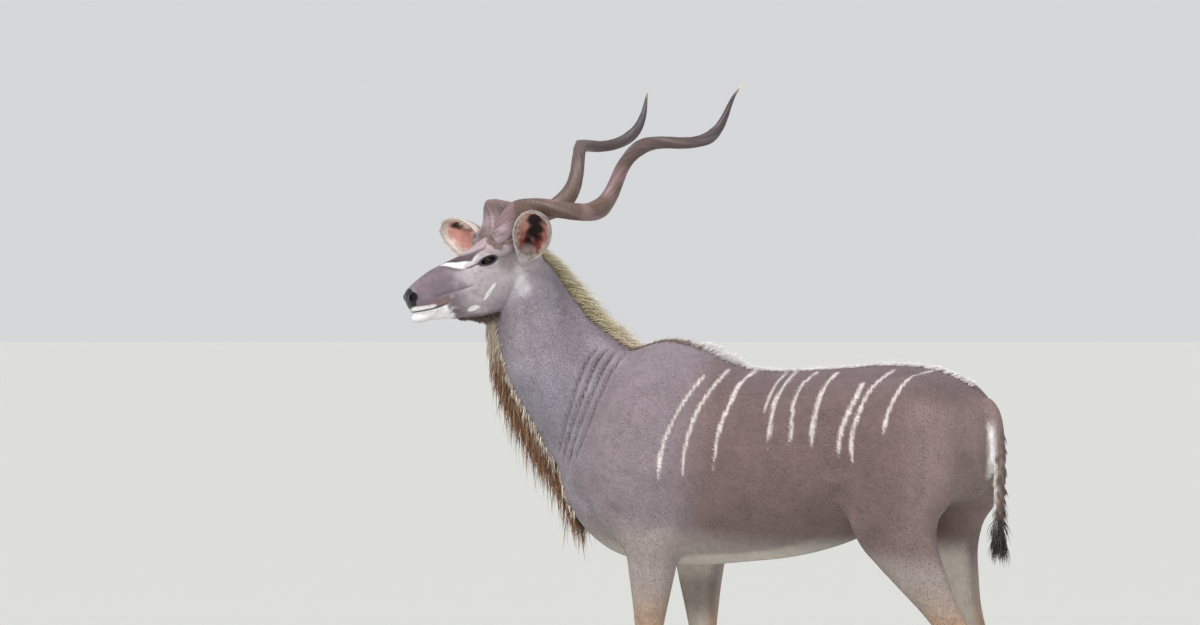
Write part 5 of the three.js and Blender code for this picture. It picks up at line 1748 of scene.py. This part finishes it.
def spineCrest():
    rng = np.random.default_rng(crestHair["seed"])
    root, y, count = topOfBack(crestHair, rng)
    broad = smooth((250 - y) / 60)
    long = crestHair["long"] * (1 + 0.5 * broad) * rng.uniform(0.7, 1.15, count) * smooth((y - 40) / 50)
    out = np.repeat(upBody[None], count, 0)
    lean = unit(np.stack([0.25 * rng.normal(size=count), 0.75 + 0 * y, 0.5 + 0.25 * broad], 1))
    fall = unit(np.stack([0.2 * rng.normal(size=count), 1 + 0 * y, 0.05 + 0.1 * broad], 1))
    rootColour = mix(evenly("d0c7c1", count), tone("e8e2de"), rng.random(count))
    tipColour = mix(evenly("f2efed", count), tone("fbfaf9"), rng.random(count))
    wider = {**crestHair, "spread": crestHair["spread"] + 5 * broad}
    growLocks("crest_back", wider, root, out, lean, fall, long, rootColour, tipColour,
              np.stack([root[:, 0], y], 1))
    root, y, count = topOfBack(humpHair, rng)
    out = np.repeat(upBody[None], count, 0)
    lean = unit(np.stack([0.3 * rng.normal(size=count), 0.7 + 0 * y, 0.8 + 0 * y], 1))
    long = humpHair["long"] * rng.uniform(0.6, 1.2, count)
    growLocks("fuzz_hump", humpHair, root, out, lean, unit(lean + (0, 0.6, -0.2)), long,
              evenly("75635a", count), evenly("a68c78", count), np.stack([root[:, 0], y], 1))


tailHair = {"clumps": 200, "strands": 10, "width": 2.6, "spread": 6, "gather": 0.4, "darken": 0.2, "seed": 41}


def tailTuft():
    rng = np.random.default_rng(tailHair["seed"])
    count = tailHair["clumps"]
    share = 0.30 + 0.68 * rng.random(count) ** 0.8
    rows = blended(tailStations, share)
    angle = rng.uniform(0, 2 * np.pi, count)
    out = np.stack([np.cos(angle), np.sin(angle), 0 * angle], 1)
    root = rows[:, :3] + out * np.stack([rows[:, 4] * 0.42, rows[:, 3] * 0.42, 0 * angle], 1)
    low = smooth((share - 0.72) / 0.14)
    long = (34 + 62 * low) * rng.uniform(0.7, 1.1, count)
    down = np.array([0, 0.04, -1.0])
    under = smooth((-out[:, 1] + 0.1) / 0.3)
    rootColour = mix(mix(evenly("6d5a50", count), tone("e2ddd6"), under), tone("1f1916"), low)
    growLocks("tuft_tail", tailHair, root, out, unit(out * 0.35 + down), unit(down + out * 0.06), long,
              rootColour, rootColour * 0.95, np.stack([angle, share], 1))


jawHair = {"clumps": 150, "strands": 6, "width": 2.2, "spread": 8, "gather": 0.5, "darken": 0.25, "seed": 47}


def jawTuft():  # dark hair under the jaw, where the fringe begins
    rng = np.random.default_rng(jawHair["seed"])
    count = jawHair["clumps"]
    u, v = rng.uniform(-262, -128, count), rng.normal(0, 11, count)
    root, _ = ontoSkin(noseTip + np.stack([u, v, -150 + 0 * u], 1) @ headAxes)
    out = np.repeat(-headW[None], count, 0)
    long = (14 + 24 * smooth((-150 - u) / 60)) * rng.uniform(0.7, 1.2, count)
    lean = unit(out * 0.7 - headU * 0.5 + headV * rng.normal(0, 0.15, (count, 1)))
    growLocks("tuft_jaw", jawHair, root, out, lean, unit(lean + (0, 0, -0.6)), long,
              evenly("3b302a", count), evenly("6b5440", count), np.stack([u, v], 1))


rimHair = {"clumps": 370, "shortest": 11, "longer": 20,
           "strands": 7, "width": 1.1, "spread": 4, "gather": 0.3, "darken": 0.2, "seed": 53}


def earHair():  # pale hair from the rims of each ear across its cup
    rng = np.random.default_rng(rimHair["seed"])
    count = rimHair["clumps"]
    for name in sides:
        share = rng.uniform(0.10, 0.97, count)
        edge = rng.choice([-1.0, 1.0], count)
        across = edge * (0.97 - 0.55 * rng.random(count))
        base, alongEar, opening, acrossEar = earFrame(name)
        reach, radius, spread, back = blended(earStations, share).T
        angle = np.radians(spread) * across
        middle = base + reach[:, None] * alongEar + (radius * 0.25 - back)[:, None] * opening
        wall = unit(-opening * np.cos(angle)[:, None] + acrossEar * np.sin(angle)[:, None])
        root = middle + wall * (radius - 1.6 - earThickness * 0.6)[:, None]
        inward = unit(np.cross(alongEar, wall) * -edge[:, None])
        lean = unit(-wall * 0.5 + inward * 0.7 + alongEar * 0.7)
        fall = unit(inward * 0.55 + alongEar * 0.8 - wall * 0.2)
        nearRim = smooth((np.abs(across) - 0.5) / 0.4)
        long = rimHair["shortest"] + rimHair["longer"] * nearRim * smooth((0.95 - share) / 0.3)
        long = long * rng.uniform(0.7, 1.2, count)
        colour = mix(evenly("c4a99e", count), tone("e6dad0"), nearRim)
        growLocks("hair_ear_" + name, rimHair, root, -wall, lean, fall, long, colour * 0.8, colour,
                  np.stack([share, across], 1))


lashHair = {"long": 8.5, "strands": 2, "width": 0.5, "spread": 0.6, "gather": 0, "darken": 0.1, "seed": 59}


def lashes():
    rng = np.random.default_rng(lashHair["seed"])
    for name, sign in sides.items():
        look, long, rise = eyeFrame(sign)
        outline = lidOutline(120, 1.5)
        outline = outline[outline[:, 1] > 5.0]
        root = onEyeball(outline, sign, eyes["radius"] + 2.2)
        count = len(root)
        lean = unit(look * 0.9 + rise * 0.25) + long * rng.normal(0, 0.12, (count, 1))
        growLocks("lashes_" + name, lashHair, root, np.repeat(look[None], count, 0), unit(lean),
                  unit(lean - rise * 0.6), lashHair["long"] * rng.uniform(0.7, 1.1, count),
                  evenly("171213", count), evenly("2a2321", count), outline)


collarHair = {"clumps": 190, "long": (13, 24), "clearOfEye": 38,
              "strands": 6, "width": 1.8, "spread": 6, "gather": 0.2, "darken": 0.2, "seed": 67}


def hornCollars():  # hair that stands round the foot of each horn, where the horn leaves the skin
    rng = np.random.default_rng(collarHair["seed"])
    count = collarHair["clumps"]
    angle = 2 * np.pi * (np.arange(count) + rng.random(count)) / count
    sink = np.linspace(0, 1, 12)[:-1, None]
    for name, sign in sides.items():
        centre, keel, thick = hornPath(sign, np.linspace(0, 0.08, 14))
        deep = sidePlace(horns["root"], sign)
        middle = np.concatenate([deep * (1 - sink) + centre[0] * sink, centre])
        sunk = horns["rootShare"] + (1 - horns["rootShare"]) * sink[:, 0]
        half = 0.5 * np.append(sunk * thick[0], thick)
        along = unit(centre[-1] - centre[0])
        side = np.cross(along, keel[0])
        ring = np.cos(angle)[:, None] * keel[0] + np.sin(angle)[:, None] * side
        root = np.array([footOfHorn(middle, half + 1.5, way) for way in ring])
        clear = np.linalg.norm(root - eyeCentre(sign), axis=1) > collarHair["clearOfEye"]
        root, ring, angles = root[clear], ring[clear], angle[clear]
        lean = unit(ring * 0.6 + along * 0.6 + rng.normal(0, 0.12, (len(root), 3)))
        fall = unit(along + ring * 0.25)
        tips = mix(evenly("b5a399", len(root)), tone("8f7a70"), rng.random(len(root)))
        long = rng.uniform(*collarHair["long"], len(root))
        growLocks("hair_horn_" + name, collarHair, root, ring, lean, fall, long,
                  evenly("8c7a73", len(root)), tips, np.stack([angles, rng.random(len(root))], 1))


def footOfHorn(middle, half, way):  # the first place down the horn's side that is under the skin
    for m, reach in zip(middle[::-1], half[::-1]):
        spot = Vector(m + way * reach)
        near, normal, _, _ = finder.tree.find_nearest(spot)
        if (spot - near).dot(normal) < 0:
            break
    return near


throatFringe()
napeMane()
spineCrest()
tailTuft()
jawTuft()
earHair()
lashes()
hornCollars()


fleshNodes = [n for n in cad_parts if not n.startswith(("eye", "horn")) and "claw" not in n]
finished(skin, "skin", "coat", *fleshNodes)


# Camera at the photograph's height and side, floor and light
def aimed(obj, way):
    obj.rotation_mode = "QUATERNION"
    obj.rotation_quaternion = Vector(way).to_track_quat("-Z", "Y")
    return obj


def makeCamera():
    camera = aimed(linked("camera", bpy.data.cameras.new("camera")), -viewBack)
    camera.location = Vector(cameraPlace)
    camera.data.lens = view["lens"]
    camera.data.sensor_width = view["sensor"]
    camera.data.clip_end = 500
    bpy.context.scene.camera = camera


studio = {"floor": "cfcfca", "sky": (0.86, 0.87, 0.89), "skyPower": 0.78, "floorSize": 900,
          "sunPower": 1.85, "sunAngle": 20, "sunFrom": (0.66, -0.02, 1.0), "lampsAimAt": (0, 0, 1.2),
          "lamps": {"fill": ((10, 8, 3), 6, 260), "front": ((5.8, 0.4, 4.8), 1.7, 130)}}


def makeStage():
    bpy.ops.mesh.primitive_plane_add(size=studio["floorSize"], location=(0, 0, 0))
    floor = bpy.context.object
    floor.name = "floor"
    made, _, shader = material("floorFinish", 0.9, 0.2)
    shader.inputs["Base Color"].default_value = (*tone(studio["floor"]), 1)
    floor.data.materials.append(made)
    world = bpy.data.worlds.new("studio")
    bpy.context.scene.world = world
    world.use_nodes = True
    background = world.node_tree.nodes["Background"].inputs
    background[0].default_value = (*studio["sky"], 1)
    background[1].default_value = studio["skyPower"]
    sun = aimed(linked("sun", bpy.data.lights.new("sun", "SUN")), -np.array(studio["sunFrom"]))
    sun.data.energy = studio["sunPower"]
    sun.data.angle = np.radians(studio["sunAngle"])
    for name, (place, size, power) in studio["lamps"].items():
        lamp = linked(name, bpy.data.lights.new(name, "AREA"))
        aimed(lamp, Vector(studio["lampsAimAt"]) - Vector(place)).location = place
        lamp.data.shape = "DISK"
        lamp.data.size = size
        lamp.data.energy = power


makeCamera()
makeStage()
bpy.context.scene.view_settings.view_transform = "Standard"
print("scene made")
